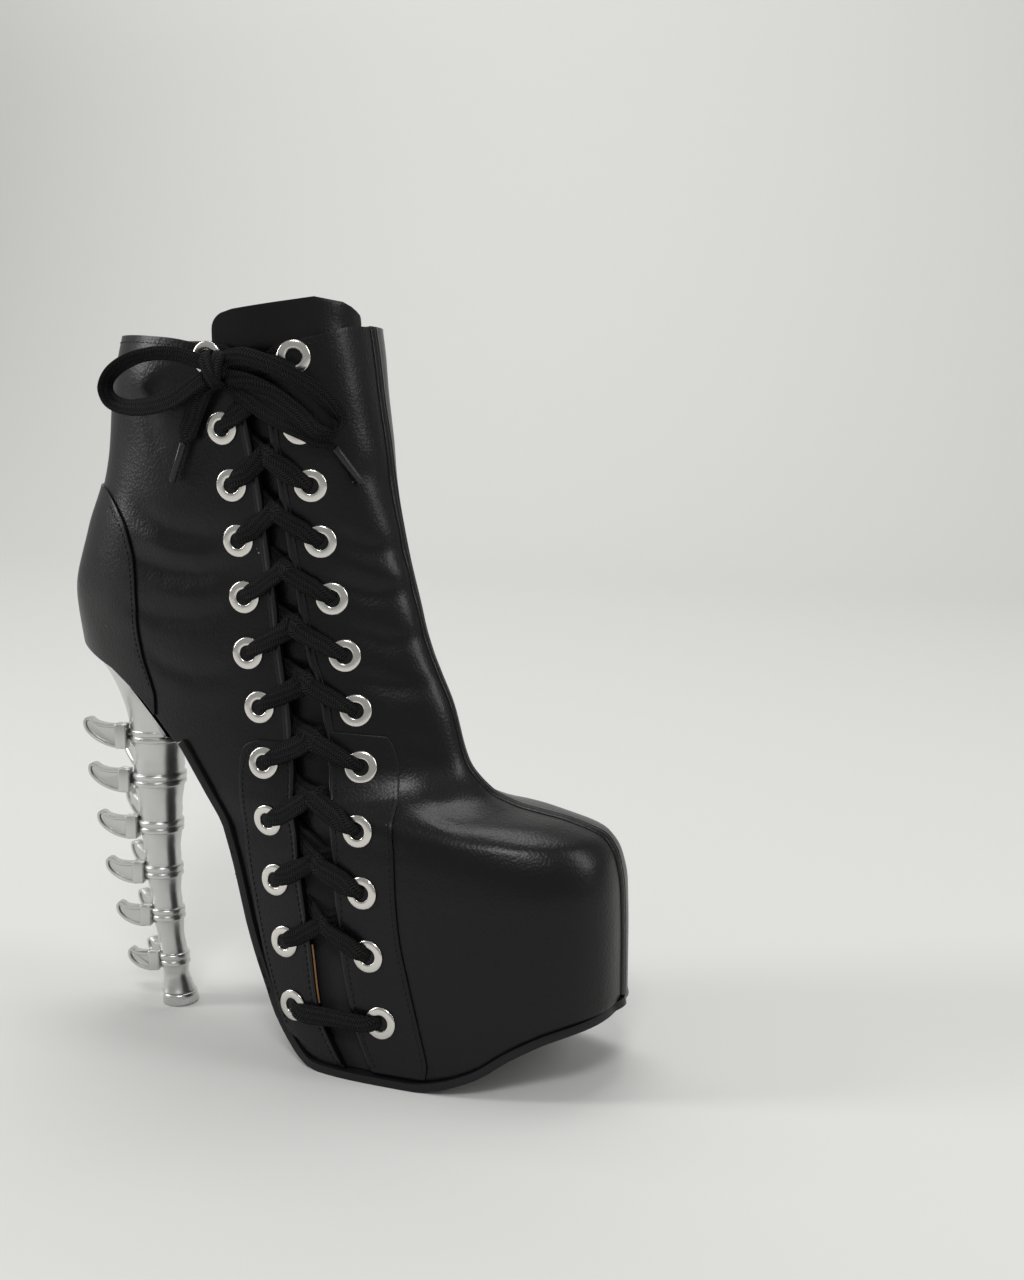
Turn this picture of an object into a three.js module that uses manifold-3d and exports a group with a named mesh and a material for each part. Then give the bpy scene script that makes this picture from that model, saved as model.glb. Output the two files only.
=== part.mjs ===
// Heeled platform ankle boot for the right foot, laced on its outer side, with a zip on its inner side.
// Millimetres. +X points to the toe, +Y to the inner side of the foot and +Z up.
// The origin is the flat spot of the sole under the ball of the foot.
import * as THREE from 'three';
import { mergeVertices } from 'three/addons/utils/BufferGeometryUtils.js';
import Module from 'manifold-3d';

const wasm = await Module();
wasm.setup();

// Driving dimensions of the form
const LENGTH = 236;
const COLLAR_HEIGHT = 284;
const SEAT_HEIGHT = 157;
const BALL_WIDTH = 78;
const TOE_SWING = 5;

// Walls, layers and clearances
const CLEARANCE = 0.3;
const WALL = 2;
const OVERLAY = 0.9;
const OUTSOLE = 3;
const SOLE_LIP = 1.9;
const INSOLE = 2.5;
const TONGUE = 2.4;
const TONGUE_RISE = 11;
const SEAM_WIDTH = 5;

// Heel
const HEEL_AT = 124;
const HEEL_TIP_WIDTH = 15;
const HEEL_TIP_HEIGHT = 5;
const HEEL_TOP_WIDTH = 23.4;
const BREAST_AT = 99;
const SPUR_LENGTH = 24;
const SPUR_DEPTH = 11;
const SPUR_THICK = 4.2;

// Lacing and zip
const EYELET_WIDTH = 12.6;
const EYELET_BORE = 6.2;
const EYELET_RIM = 0.9;
const EYELET_BARREL = 0.6;
const LACE_WIDTH = 8.6;
const LACE_THICK = 1.4;
const LACE_EASE = 0.6;
const AGLET_WIDTH = 4.2;
const KNOT_WIDTH = 9;
const KNOT_HEIGHT = 15;
const KNOT_DEPTH = 6;
const ZIP_OPENING = 7;
const ZIP_FOOT = 9;
const ZIP_TAPE_WIDTH = 22;
const ZIP_TAPE = 0.9;
const SLIDER_WIDTH = 9;
const SLIDER_LENGTH = 14;
const SLIDER_THICK = 2.6;
const SLIDER_BELOW_COLLAR = 18;
const BRIDGE_WIDTH = 2.2;
const BRIDGE_LENGTH = 9.2;
const BRIDGE_THICK = 1.4;
const BAIL_WIRE = 1.6;
const BAIL_LENGTH = 9;
const PULL_WIDTH = 8.6;
const PULL_LENGTH = 24;

// Mesh fineness
const AROUND = 40;
const INSIDE_AROUND = 30;
const COLUMN_SIDES = 14;
const ROUND_SIDES = 8;

// Level sections of the last, bottom to top. Heights are shares of the collar's height, places along
// the foot are shares of the length, and the half widths are shares of the ball's width.
const LAST = [
  { z: -0.042, back: -0.280, front: 0.280, outer: 0.487, inner: 0.449, widest: 0.42, heelRound: 2.4, toeRound: 2.6 },
  { z: 0.000, back: -0.280, front: 0.294, outer: 0.500, inner: 0.462, widest: 0.42, heelRound: 2.5, toeRound: 2.8 },
  { z: 0.085, back: -0.356, front: 0.314, outer: 0.487, inner: 0.474, widest: 0.48, heelRound: 2.5, toeRound: 2.9 },
  { z: 0.176, back: -0.441, front: 0.314, outer: 0.474, inner: 0.474, widest: 0.55, heelRound: 2.4, toeRound: 3.0 },
  { z: 0.254, back: -0.508, front: 0.312, outer: 0.462, inner: 0.474, widest: 0.60, heelRound: 2.3, toeRound: 3.0 },
  { z: 0.296, back: -0.542, front: 0.304, outer: 0.449, inner: 0.462, widest: 0.62, heelRound: 2.3, toeRound: 2.8 },
  { z: 0.324, back: -0.564, front: 0.286, outer: 0.436, inner: 0.449, widest: 0.62, heelRound: 2.2, toeRound: 2.5 },
  { z: 0.345, back: -0.585, front: 0.225, outer: 0.430, inner: 0.436, widest: 0.60, heelRound: 2.2, toeRound: 2.2 },
  { z: 0.359, back: -0.597, front: 0.140, outer: 0.423, inner: 0.436, widest: 0.57, heelRound: 2.1, toeRound: 2.1 },
  { z: 0.377, back: -0.614, front: 0.092, outer: 0.410, inner: 0.423, widest: 0.54, heelRound: 2.1, toeRound: 1.9 },
  { z: 0.415, back: -0.644, front: 0.051, outer: 0.397, inner: 0.410, widest: 0.51, heelRound: 2.0, toeRound: 1.8 },
  { z: 0.493, back: -0.674, front: 0.023, outer: 0.385, inner: 0.410, widest: 0.50, heelRound: 1.9, toeRound: 1.8 },
  { z: 0.563, back: -0.689, front: -0.014, outer: 0.385, inner: 0.397, widest: 0.48, heelRound: 2.0, toeRound: 1.9 },
  { z: 0.634, back: -0.695, front: -0.039, outer: 0.385, inner: 0.397, widest: 0.46, heelRound: 2.1, toeRound: 2.0 },
  { z: 0.722, back: -0.662, front: -0.065, outer: 0.397, inner: 0.410, widest: 0.46, heelRound: 2.1, toeRound: 2.1 },
  { z: 0.792, back: -0.624, front: -0.080, outer: 0.410, inner: 0.423, widest: 0.47, heelRound: 2.1, toeRound: 2.2 },
  { z: 0.845, back: -0.608, front: -0.088, outer: 0.423, inner: 0.436, widest: 0.47, heelRound: 2.1, toeRound: 2.3 },
  { z: 0.923, back: -0.596, front: -0.102, outer: 0.449, inner: 0.462, widest: 0.48, heelRound: 2.1, toeRound: 2.4 },
  { z: 0.972, back: -0.576, front: -0.110, outer: 0.462, inner: 0.474, widest: 0.48, heelRound: 2.1, toeRound: 2.5 },
  { z: 1.007, back: -0.565, front: -0.114, outer: 0.462, inner: 0.474, widest: 0.48, heelRound: 2.1, toeRound: 2.5 },
  { z: 1.070, back: -0.565, front: -0.114, outer: 0.462, inner: 0.474, widest: 0.48, heelRound: 2.1, toeRound: 2.5 },
];
const LEVEL_STEPS = [1, 1, 1, 1, 1, 1, 1, 1, 1, 2, 2, 1, 1, 1, 1, 1, 1, 1, 1, 1];

// The sole's underside along the foot: x as a share of the length, z of the seat's height.
const SOLE_LINE = [
  { x: -0.720, z: 1.020 },
  { x: -0.679, z: 1.003 },
  { x: -0.612, z: 0.966 },
  { x: -0.555, z: 0.936 },
  { x: -0.517, z: 0.911 },
  { x: -0.455, z: 0.828 },
  { x: -0.420, z: 0.777 },
  { x: -0.386, z: 0.708 },
  { x: -0.354, z: 0.635 },
  { x: -0.329, z: 0.560 },
  { x: -0.312, z: 0.487 },
  { x: -0.299, z: 0.411 },
  { x: -0.286, z: 0.334 },
  { x: -0.270, z: 0.260 },
  { x: -0.251, z: 0.184 },
  { x: -0.235, z: 0.113 },
  { x: -0.214, z: 0.060 },
  { x: -0.190, z: 0.024 },
  { x: -0.165, z: 0.005 },
  { x: -0.140, z: 0 },
  { x: 0.025, z: 0 },
  { x: 0.068, z: 0.010 },
  { x: 0.131, z: 0.045 },
  { x: 0.191, z: 0.104 },
  { x: 0.246, z: 0.144 },
  { x: 0.314, z: 0.171 },
  { x: 0.350, z: 0.182 },
];

// The foot bed over the platform, in the same shares. Behind the first row it follows the sole.
const BED_LINE = [
  { x: -0.420, z: 0.800 },
  { x: -0.340, z: 0.722 },
  { x: -0.254, z: 0.650 },
  { x: -0.127, z: 0.522 },
  { x: 0.000, z: 0.415 },
  { x: 0.085, z: 0.376 },
  { x: 0.170, z: 0.372 },
  { x: 0.250, z: 0.392 },
  { x: 0.350, z: 0.425 },
];

// Rows of the lacing from the collar down: height as a share of the collar's, the rest as shares of
// the length. The last row is the foot of the opening and has no eyelets.
const LACING = [
  { z: 0.955, middle: -0.254, gap: 0.0225, spread: 0.070 },
  { z: 0.864, middle: -0.245, gap: 0.0170, spread: 0.063 },
  { z: 0.789, middle: -0.234, gap: 0.0150, spread: 0.064 },
  { z: 0.715, middle: -0.226, gap: 0.0160, spread: 0.067 },
  { z: 0.639, middle: -0.215, gap: 0.0180, spread: 0.072 },
  { z: 0.563, middle: -0.202, gap: 0.0215, spread: 0.080 },
  { z: 0.490, middle: -0.182, gap: 0.0270, spread: 0.080 },
  { z: 0.415, middle: -0.170, gap: 0.0295, spread: 0.081 },
  { z: 0.338, middle: -0.157, gap: 0.0330, spread: 0.084 },
  { z: 0.257, middle: -0.144, gap: 0.0315, spread: 0.082 },
  { z: 0.173, middle: -0.129, gap: 0.0285, spread: 0.079 },
  { z: 0.085, middle: -0.110, gap: 0.0315, spread: 0.083 },
  { z: 0.000, middle: -0.060, gap: 0.0260, spread: 0.083 },
];

// The zip's line on the inner side, collar to arch, in the same shares.
const ZIP_LINE = [
  { z: 1.040, x: -0.394 },
  { z: 0.901, x: -0.396 },
  { z: 0.796, x: -0.415 },
  { z: 0.687, x: -0.430 },
  { z: 0.574, x: -0.434 },
  { z: 0.500, x: -0.424 },
  { z: 0.440, x: -0.408 },
];

// Heel levels: height as a share of the seat's, width as a share of the heel's top, and the place
// behind the heel's tip as a share of the length. Each ring stands proud of the drum between two rings.
const HEEL_RINGS = [
  { z: 0.753, width: 1.00, behind: 0.026 },
  { z: 0.631, width: 0.92, behind: 0.029 },
  { z: 0.500, width: 0.77, behind: 0.029 },
  { z: 0.373, width: 0.66, behind: 0.027 },
  { z: 0.252, width: 0.57, behind: 0.021 },
  { z: 0.125, width: 0.52, behind: 0.011 },
];
const RING_HEIGHT = 5;
const RING_STEP = 0.8;

// One pair of spurs for each ring: reach and rise of the tip on either side, as shares of a spur's length.
const SPURS = [
  { reach: 0.98, depth: 1.00, outerRise: 0.10, innerRise: 0.62 },
  { reach: 0.93, depth: 0.96, outerRise: 0.08, innerRise: 0.42 },
  { reach: 0.86, depth: 0.93, outerRise: 0.07, innerRise: 0.28 },
  { reach: 0.80, depth: 0.90, outerRise: 0.05, innerRise: 0.15 },
  { reach: 0.72, depth: 0.86, outerRise: 0.03, innerRise: 0.06 },
  { reach: 0.64, depth: 0.80, outerRise: 0.02, innerRise: 0.02 },
];
const SPUR_SPLAY = THREE.MathUtils.degToRad(14);

// A smooth value between the rows of a table, without overshoot.
function between(rows, by, at, key) {
  const last = rows.length - 1;
  let i = 0;
  while (i < last - 1 && at > rows[i + 1][by]) i += 1;
  const rise = (k) => (rows[k + 1][key] - rows[k][key]) / (rows[k + 1][by] - rows[k][by]);
  const slope = (k) => {
    if (k === 0) return rise(0);
    if (k === last) return rise(last - 1);
    const below = rise(k - 1);
    const above = rise(k);
    return below * above <= 0 ? 0 : (2 * below * above) / (below + above);
  };
  const span = rows[i + 1][by] - rows[i][by];
  const t = (at - rows[i][by]) / span;
  return (2 * t ** 3 - 3 * t ** 2 + 1) * rows[i][key] + (t ** 3 - 2 * t ** 2 + t) * slope(i) * span
    + (3 * t ** 2 - 2 * t ** 3) * rows[i + 1][key] + (t ** 3 - t ** 2) * slope(i + 1) * span;
}

const descending = (rows) => [...rows].reverse();
const lacingRows = descending(LACING);
const zipRows = descending(ZIP_LINE);

const soleAt = (x) => between(SOLE_LINE, 'x', x / LENGTH, 'z') * SEAT_HEIGHT;
const bedAt = (x) => (x / LENGTH <= BED_LINE[0].x
  ? Math.max(soleAt(x), soleAt(BED_LINE[0].x * LENGTH)) + (BED_LINE[0].z * SEAT_HEIGHT - soleAt(BED_LINE[0].x * LENGTH))
    * seatBlend(x)
  : between(BED_LINE, 'x', x / LENGTH, 'z') * SEAT_HEIGHT);

function seatBlend(x) {
  const start = BED_LINE[0].x * LENGTH;
  return Math.max(0, 1 - (start - x) / (0.12 * LENGTH));
}

// The section of the last at one height, in millimetres.
function levelAt(z) {
  const at = z / COLLAR_HEIGHT;
  const row = (key) => between(LAST, 'z', at, key);
  const back = row('back') * LENGTH;
  const front = row('front') * LENGTH;
  return {
    back,
    front,
    middle: back + (front - back) * row('widest'),
    outer: row('outer') * BALL_WIDTH,
    inner: row('inner') * BALL_WIDTH,
    heelRound: row('heelRound'),
    toeRound: row('toeRound'),
  };
}

const toeReach = LENGTH * Math.max(...LAST.map((row) => row.front));

// A right foot's toe turns a little to the inner side.
const swing = (x) => TOE_SWING * Math.max(0, Math.min(1, x / toeReach)) ** 2;

function lastPoint(angle, z) {
  const level = levelAt(z);
  const c = Math.cos(angle);
  const s = Math.sin(angle);
  const round = 2 / (c >= 0 ? level.toeRound : level.heelRound);
  const reach = c >= 0 ? level.front - level.middle : level.middle - level.back;
  const half = s >= 0 ? level.inner : level.outer;
  const x = level.middle + reach * Math.sign(c) * Math.abs(c) ** round;
  const y = half * Math.sign(s) * Math.abs(s) ** round;
  return new THREE.Vector3(x, y + swing(x), z);
}

// The last's surface on one side at a place along the foot and a height, with its outward normal.
function sideY(x, z, side) {
  const level = levelAt(z);
  const ahead = x >= level.middle;
  const reach = ahead ? level.front - level.middle : level.middle - level.back;
  const round = ahead ? level.toeRound : level.heelRound;
  const share = Math.min(0.999, Math.abs(x - level.middle) / reach);
  const half = side > 0 ? level.inner : level.outer;
  return side * half * (1 - share ** round) ** (1 / round) + swing(x);
}

function skin(x, z, side, lift = 0) {
  const step = 1;
  const slopeX = (sideY(x + step, z, side) - sideY(x - step, z, side)) / (2 * step);
  const slopeZ = (sideY(x, z + step, side) - sideY(x, z - step, side)) / (2 * step);
  const normal = new THREE.Vector3(-slopeX, 1, -slopeZ).multiplyScalar(side).normalize();
  return { normal, point: new THREE.Vector3(x, sideY(x, z, side), z).addScaledVector(normal, lift) };
}

// A closed solid from rings of points, each ring with as many points, and a fan at both ends.
function loftGeometry(rings) {
  const count = rings[0].length;
  const points = rings.flat();
  const faces = [];
  for (let j = 0; j < rings.length - 1; j += 1) {
    for (let i = 0; i < count; i += 1) {
      const a = j * count + i;
      const b = j * count + ((i + 1) % count);
      faces.push(a, b, b + count, a, b + count, a + count);
    }
  }
  for (const end of [0, rings.length - 1]) {
    const centre = new THREE.Vector3();
    rings[end].forEach((point) => centre.addScaledVector(point, 1 / count));
    const hub = points.push(centre) - 1;
    for (let i = 0; i < count; i += 1) {
      const a = end * count + i;
      const b = end * count + ((i + 1) % count);
      faces.push(...(end === 0 ? [hub, b, a] : [hub, a, b]));
    }
  }
  const geometry = new THREE.BufferGeometry();
  geometry.setAttribute('position', new THREE.Float32BufferAttribute(points.flatMap((p) => p.toArray()), 3));
  geometry.setIndex(faces);
  return geometry;
}

function solid(geometry) {
  const bare = geometry.clone();
  bare.deleteAttribute('normal');
  bare.deleteAttribute('uv');
  const merged = mergeVertices(bare, 1e-4);
  const made = new wasm.Manifold(new wasm.Mesh({
    numProp: 3,
    vertProperties: new Float32Array(merged.attributes.position.array),
    triVerts: new Uint32Array(merged.index.array),
  }));
  return made;
}

function geometryOf(made) {
  const mesh = made.getMesh();
  const geometry = new THREE.BufferGeometry();
  geometry.setAttribute('position', new THREE.BufferAttribute(new Float32Array(mesh.vertProperties), 3));
  geometry.setIndex(new THREE.BufferAttribute(new Uint32Array(mesh.triVerts), 1));
  return geometry;
}

// The last grown or shrunk along its normals, from under the sole to over the tongue.
function lastSolid(lift, around = AROUND) {
  const heights = [LAST[0].z];
  LEVEL_STEPS.forEach((steps, i) => {
    for (let k = 1; k <= steps; k += 1) heights.push(LAST[i].z + (LAST[i + 1].z - LAST[i].z) * (k / steps));
  });
  const turn = (2 * Math.PI) / around;
  const step = 0.5;
  const rings = heights.map((share) => Array.from({ length: around }, (_, i) => {
    const z = share * COLLAR_HEIGHT;
    const angle = turn * (i + 0.5);
    const along = lastPoint(angle + turn / 4, z).sub(lastPoint(angle - turn / 4, z));
    const up = lastPoint(angle, z + step).sub(lastPoint(angle, z - step));
    const normal = along.cross(up).normalize();
    return lastPoint(angle, z).addScaledVector(normal, lift);
  }));
  return solid(loftGeometry(rings));
}

// A prism across the boot from an outline in side view.
function prism(outline, from, to) {
  const shape = new THREE.Shape(outline.map(([x, z]) => new THREE.Vector2(x, z)));
  const geometry = new THREE.ExtrudeGeometry(shape, { depth: to - from, bevelEnabled: false, curveSegments: 4 });
  geometry.rotateX(Math.PI / 2);
  geometry.translate(0, to, 0);
  return solid(geometry);
}

const farOut = BALL_WIDTH;
const farBack = -LENGTH;
const farAhead = LENGTH / 2;

// The sole's line as points, moved square to itself.
function offsetLine(lift, from, to) {
  const xs = SOLE_LINE.map((row) => row.x * LENGTH).filter((x) => x > from + 1 && x < to - 1);
  return [from, ...xs, to].map((x) => {
    const slope = (soleAt(x + 1) - soleAt(x - 1)) / 2;
    const size = Math.hypot(1, slope);
    return [x - (lift * slope) / size, soleAt(x) + lift / size];
  });
}

const soleStart = SOLE_LINE[0].x * LENGTH;
const soleEnd = SOLE_LINE[SOLE_LINE.length - 1].x * LENGTH;
const breast = -BREAST_AT;

function belowSole(lift, from = soleStart, to = soleEnd) {
  const line = offsetLine(lift, from, to);
  const floor = -COLLAR_HEIGHT / 4;
  return prism([[line[0][0], floor], [line[line.length - 1][0], floor], ...line.reverse()], -farOut, farOut);
}

function aboveSole(lift, from, to) {
  const line = offsetLine(lift, from, to);
  const top = 2 * COLLAR_HEIGHT;
  return prism([...line, [line[line.length - 1][0], top], [line[0][0], top]], -farOut, farOut);
}

// A ribbon solid along points, each with its own outward normal.
function ribbon(path, width, thick) {
  const rings = path.map(({ point, normal }, i) => {
    const before = path[Math.max(0, i - 1)].point;
    const after = path[Math.min(path.length - 1, i + 1)].point;
    const along = after.clone().sub(before).normalize();
    const across = along.clone().cross(normal).normalize();
    const out = across.clone().cross(along).normalize();
    const corner = (a, b) => point.clone().addScaledVector(across, (a * width) / 2).addScaledVector(out, (b * thick) / 2);
    return [corner(-1, -1), corner(-1, 1), corner(1, 1), corner(1, -1)];
  });
  return loftGeometry(rings);
}

// Colours, roughness and metalness
const leather = new THREE.MeshStandardMaterial({ color: 0x17171a, roughness: 0.38, metalness: 0 });
const panelLeather = new THREE.MeshStandardMaterial({ color: 0x141417, roughness: 0.42, metalness: 0 });
const rubber = new THREE.MeshStandardMaterial({ color: 0x101012, roughness: 0.6, metalness: 0 });
const lining = new THREE.MeshStandardMaterial({ color: 0x1b1b1d, roughness: 0.85, metalness: 0 });
const silver = new THREE.MeshStandardMaterial({ color: 0xb9b9b7, roughness: 0.32, metalness: 0.9 });
const nickel = new THREE.MeshStandardMaterial({ color: 0xa9a8a5, roughness: 0.28, metalness: 1 });
const cotton = new THREE.MeshStandardMaterial({ color: 0x131315, roughness: 0.9, metalness: 0 });

const boot = new THREE.Group();

function place(name, geometry, material) {
  const mesh = new THREE.Mesh(geometry, material);
  mesh.name = name;
  boot.add(mesh);
  return mesh;
}

const eyeletRows = LACING.slice(0, -1);
const lacingAt = (z) => {
  const at = z / COLLAR_HEIGHT;
  const value = (key) => between(lacingRows, 'z', Math.max(lacingRows[0].z, at), key) * LENGTH;
  return { middle: value('middle'), gap: value('gap'), spread: value('spread') };
};
const zipAt = (z) => between(zipRows, 'z', z / COLLAR_HEIGHT, 'x') * LENGTH;

// The opening under the laces, flared at the collar.
function lacingOpening() {
  const corner = 9;
  const top = COLLAR_HEIGHT * LAST[LAST.length - 1].z;
  const flare = COLLAR_HEIGHT * LACING[0].z;
  const grow = (z) => 0.6 * Math.max(0, z - flare) + Math.max(0, z - flare - corner);
  const steps = 18;
  const bottom = -COLLAR_HEIGHT / 20;
  const heights = Array.from({ length: steps + 1 }, (_, i) => bottom + ((top - bottom) * i) / steps);
  const edge = (z, sign) => [lacingAt(z).middle + sign * (lacingAt(z).gap + grow(z)), z];
  return prism([...heights.map((z) => edge(z, 1)), ...heights.reverse().map((z) => edge(z, -1))], -farOut, -4);
}

// The collar: level at the inner side and front, a little lower over the outer side.
function aboveCollar() {
  const top = COLLAR_HEIGHT * 1.3;
  const dip = 9;
  const outline = [
    [farBack, COLLAR_HEIGHT - 2], [-0.5 * LENGTH, COLLAR_HEIGHT - 3], [-0.40 * LENGTH, COLLAR_HEIGHT - 5],
    [-0.30 * LENGTH, COLLAR_HEIGHT - dip], [-0.21 * LENGTH, COLLAR_HEIGHT - dip],
    [-0.15 * LENGTH, COLLAR_HEIGHT - 4], [-0.10 * LENGTH, COLLAR_HEIGHT], [farAhead, COLLAR_HEIGHT],
    [farAhead, top], [farBack, top],
  ];
  const innerSide = [[farBack, COLLAR_HEIGHT - 2], [farAhead, COLLAR_HEIGHT], [farAhead, top], [farBack, top]];
  return prism(outline, -farOut, 0).add(prism(innerSide, -1, farOut));
}

// Panels that stand proud of the wall: the counter, the lower lacing panel and the front seam.
function panels() {
  const seat = SEAT_HEIGHT;
  const counter = prism([
    [farBack, seat * 1.42], [-0.600 * LENGTH, seat * 1.40], [-0.514 * LENGTH, seat * 1.32],
    [-0.499 * LENGTH, seat * 1.20], [-0.497 * LENGTH, seat * 1.08], [-0.500 * LENGTH, seat * 0.98],
    [-0.480 * LENGTH, seat * 0.87], [-0.440 * LENGTH, seat * 0.80], [-0.44 * LENGTH, 0], [farBack, 0],
  ], -farOut, farOut);
  const lacingPanel = prism([
    [-0.285 * LENGTH, seat * 0.79], [-0.300 * LENGTH, seat * 0.72], [-0.290 * LENGTH, seat * 0.58],
    [-0.270 * LENGTH, seat * 0.40], [-0.200 * LENGTH, -seat * 0.1], [0.070 * LENGTH, -seat * 0.1],
    [0.006 * LENGTH, seat * 0.34], [-0.010 * LENGTH, seat * 0.55], [-0.036 * LENGTH, seat * 0.78],
    [-0.050 * LENGTH, seat * 0.81], [-0.140 * LENGTH, seat * 0.85], [-0.25 * LENGTH, seat * 0.82],
  ], -farOut, -4);
  const frontSeam = solid(new THREE.BoxGeometry(LENGTH * 0.9, SEAM_WIDTH, COLLAR_HEIGHT * 2.4)
    .translate(LENGTH * 0.2, SEAM_WIDTH * 0.6, 0));
  return counter.add(lacingPanel).add(frontSeam);
}

// Frames of the eyelets: place on the wall, outward normal and the row's height.
const eyelets = eyeletRows.flatMap((row, i) => [-1, 1].map((sign) => {
  const z = row.z * COLLAR_HEIGHT;
  const x = (row.middle + sign * row.spread) * LENGTH;
  const frame = skin(x, z, -1, 0);
  return { name: `eyelet_${sign < 0 ? 'back' : 'front'}_${String(i + 1).padStart(2, '0')}`, ...frame };
}));

const inPanel = (z) => (z < SEAT_HEIGHT * 0.8 ? OVERLAY : 0);

// How far the wall stands over its tangent plane within a radius of a point.
function wallRise({ point, normal }, radius) {
  const around = Array.from({ length: 12 }, (_, i) => (i * Math.PI) / 6);
  const rises = around.flatMap((angle) => [0.5, 1].map((share) => {
    const x = point.x + share * radius * Math.cos(angle);
    const z = point.z + share * radius * Math.sin(angle);
    return skin(x, z, -1).point.sub(point).dot(normal);
  }));
  return Math.max(0, ...rises);
}

function turned(geometry, { point, normal }) {
  const turn = new THREE.Quaternion().setFromUnitVectors(new THREE.Vector3(0, 1, 0), normal);
  geometry.applyQuaternion(turn);
  geometry.translate(point.x, point.y, point.z);
  return geometry;
}

function eyeletHole(eyelet) {
  const bore = EYELET_BORE / 2 + EYELET_BARREL + CLEARANCE;
  return solid(turned(new THREE.CylinderGeometry(bore, bore, 6 * WALL, 8), eyelet));
}

function eyeletGeometry({ point, normal }) {
  const seat = CLEARANCE + wallRise({ point, normal }, EYELET_WIDTH / 2) + inPanel(point.z);
  const bore = EYELET_BORE / 2;
  const foot = CLEARANCE - WALL;
  const profile = [
    [bore, foot], [bore + EYELET_BARREL, foot], [bore + EYELET_BARREL, seat], [EYELET_WIDTH / 2, seat],
    [bore + 2 * EYELET_BARREL, seat + EYELET_RIM], [bore, seat + EYELET_RIM / 2], [bore, foot],
  ].map(([r, y]) => new THREE.Vector2(r, y));
  return geometryOf(solid(turned(new THREE.LatheGeometry(profile, ROUND_SIDES), { point, normal })));
}

// The zip's slot in the inner wall, from over the collar to its last row.
function zipStrip(half, top, bottom) {
  const steps = 10;
  const heights = Array.from({ length: steps + 1 }, (_, i) => bottom + ((top - bottom) * i) / steps);
  return [...heights.map((z) => [zipAt(z) + half, z]), ...heights.reverse().map((z) => [zipAt(z) - half, z])];
}

const zipFoot = ZIP_LINE[ZIP_LINE.length - 1].x * LENGTH;
const zipBottom = soleAt(zipFoot) + OUTSOLE + ZIP_FOOT;
const zipTop = COLLAR_HEIGHT * ZIP_LINE[0].z;

const outerLast = lastSolid(0);
const innerLast = lastSolid(-WALL);
const lipLast = lastSolid(SOLE_LIP);
const insideLast = lastSolid(-WALL - CLEARANCE, INSIDE_AROUND);

function upperSolid() {
  const proud = lastSolid(OVERLAY).intersect(panels());
  let wall = outerLast.add(proud).subtract(innerLast);
  wall = wall.subtract(belowSole(OUTSOLE + CLEARANCE, breast - OUTSOLE, soleEnd));
  wall = wall.subtract(belowSole(CLEARANCE, soleStart, breast + 0.5));
  wall = wall.subtract(aboveCollar());
  wall = wall.subtract(lacingOpening());
  wall = wall.subtract(prism(zipStrip(ZIP_OPENING / 2, zipTop, zipBottom), 4, farOut));
  eyelets.forEach((eyelet) => { wall = wall.subtract(eyeletHole(eyelet)); });
  return wall;
}

function outsoleSolid() {
  const upperFace = offsetLine(OUTSOLE, breast + OUTSOLE, soleEnd);
  const underFace = offsetLine(0, breast, soleEnd);
  return lipLast.intersect(prism([...underFace, ...upperFace.reverse()], -farOut, farOut));
}

// The foot bed's stations: the seat's own, then those of the bed with one between each two.
const seatXs = SOLE_LINE.map((row) => row.x).filter((x) => x < BED_LINE[0].x - 0.01);
const bedXs = BED_LINE.flatMap((row, i) => (i === 0 ? [row.x] : [(BED_LINE[i - 1].x + row.x) / 2, row.x]));
const bedLine = (lift, from) => [...seatXs, ...bedXs].map((share) => share * LENGTH).filter((x) => x >= from)
  .map((x) => [x, bedAt(x) + lift]);

// The platform under the foot bed, closed at its back by the steep arch.
function platformSolid() {
  const from = BED_LINE[0].x * LENGTH + 3 * OUTSOLE;
  const top = bedLine(0, from);
  const under = offsetLine(OUTSOLE + CLEARANCE, from, soleEnd);
  return insideLast.intersect(prism([...under, ...top.reverse()], -farOut, farOut));
}

function insoleSolid() {
  const under = bedLine(CLEARANCE, soleStart);
  const top = bedLine(CLEARANCE + INSOLE, soleStart);
  return insideLast.intersect(prism([...under, ...top.reverse()], -farOut, farOut));
}

function underBed() {
  const bed = bedLine(INSOLE + 3 * CLEARANCE, soleStart);
  return prism([[soleStart, 0], [soleEnd, 0], ...bed.reverse()], -farOut, farOut);
}

function tongueSolid() {
  const top = COLLAR_HEIGHT + TONGUE_RISE;
  const bottom = bedAt(0) + INSOLE;
  const half = (z) => 0.115 * LENGTH + 0.03 * LENGTH * Math.max(0, Math.min(1, (z - SEAT_HEIGHT) / SEAT_HEIGHT));
  const steps = 10;
  const heights = Array.from({ length: steps + 1 }, (_, i) => bottom + ((top - bottom) * i) / steps);
  const corner = (z) => Math.max(0, z - top + 6);
  const side = (sign) => heights.map((z) => [lacingAt(z).middle + sign * (half(z) - corner(z)), z]);
  const area = prism([...side(1), ...side(-1).reverse()], -farOut, -3);
  const face = -WALL - 2 * CLEARANCE;
  const sheet = lastSolid(face, INSIDE_AROUND).subtract(lastSolid(face - TONGUE, INSIDE_AROUND));
  return sheet.intersect(area).subtract(underBed());
}

// The heel: a cup under the seat that narrows to a ringed column, with a pair of spurs on each ring.
const columnX = (z) => {
  const rows = [{ z: 0, behind: 0 }, ...descending(HEEL_RINGS)];
  return -HEEL_AT - between(rows, 'z', z / SEAT_HEIGHT, 'behind') * LENGTH;
};
const columnRadius = (z) => {
  const rows = [{ z: 0, width: 0.5 }, ...descending(HEEL_RINGS)];
  return (between(rows, 'z', z / SEAT_HEIGHT, 'width') * HEEL_TOP_WIDTH) / 2;
};

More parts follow.
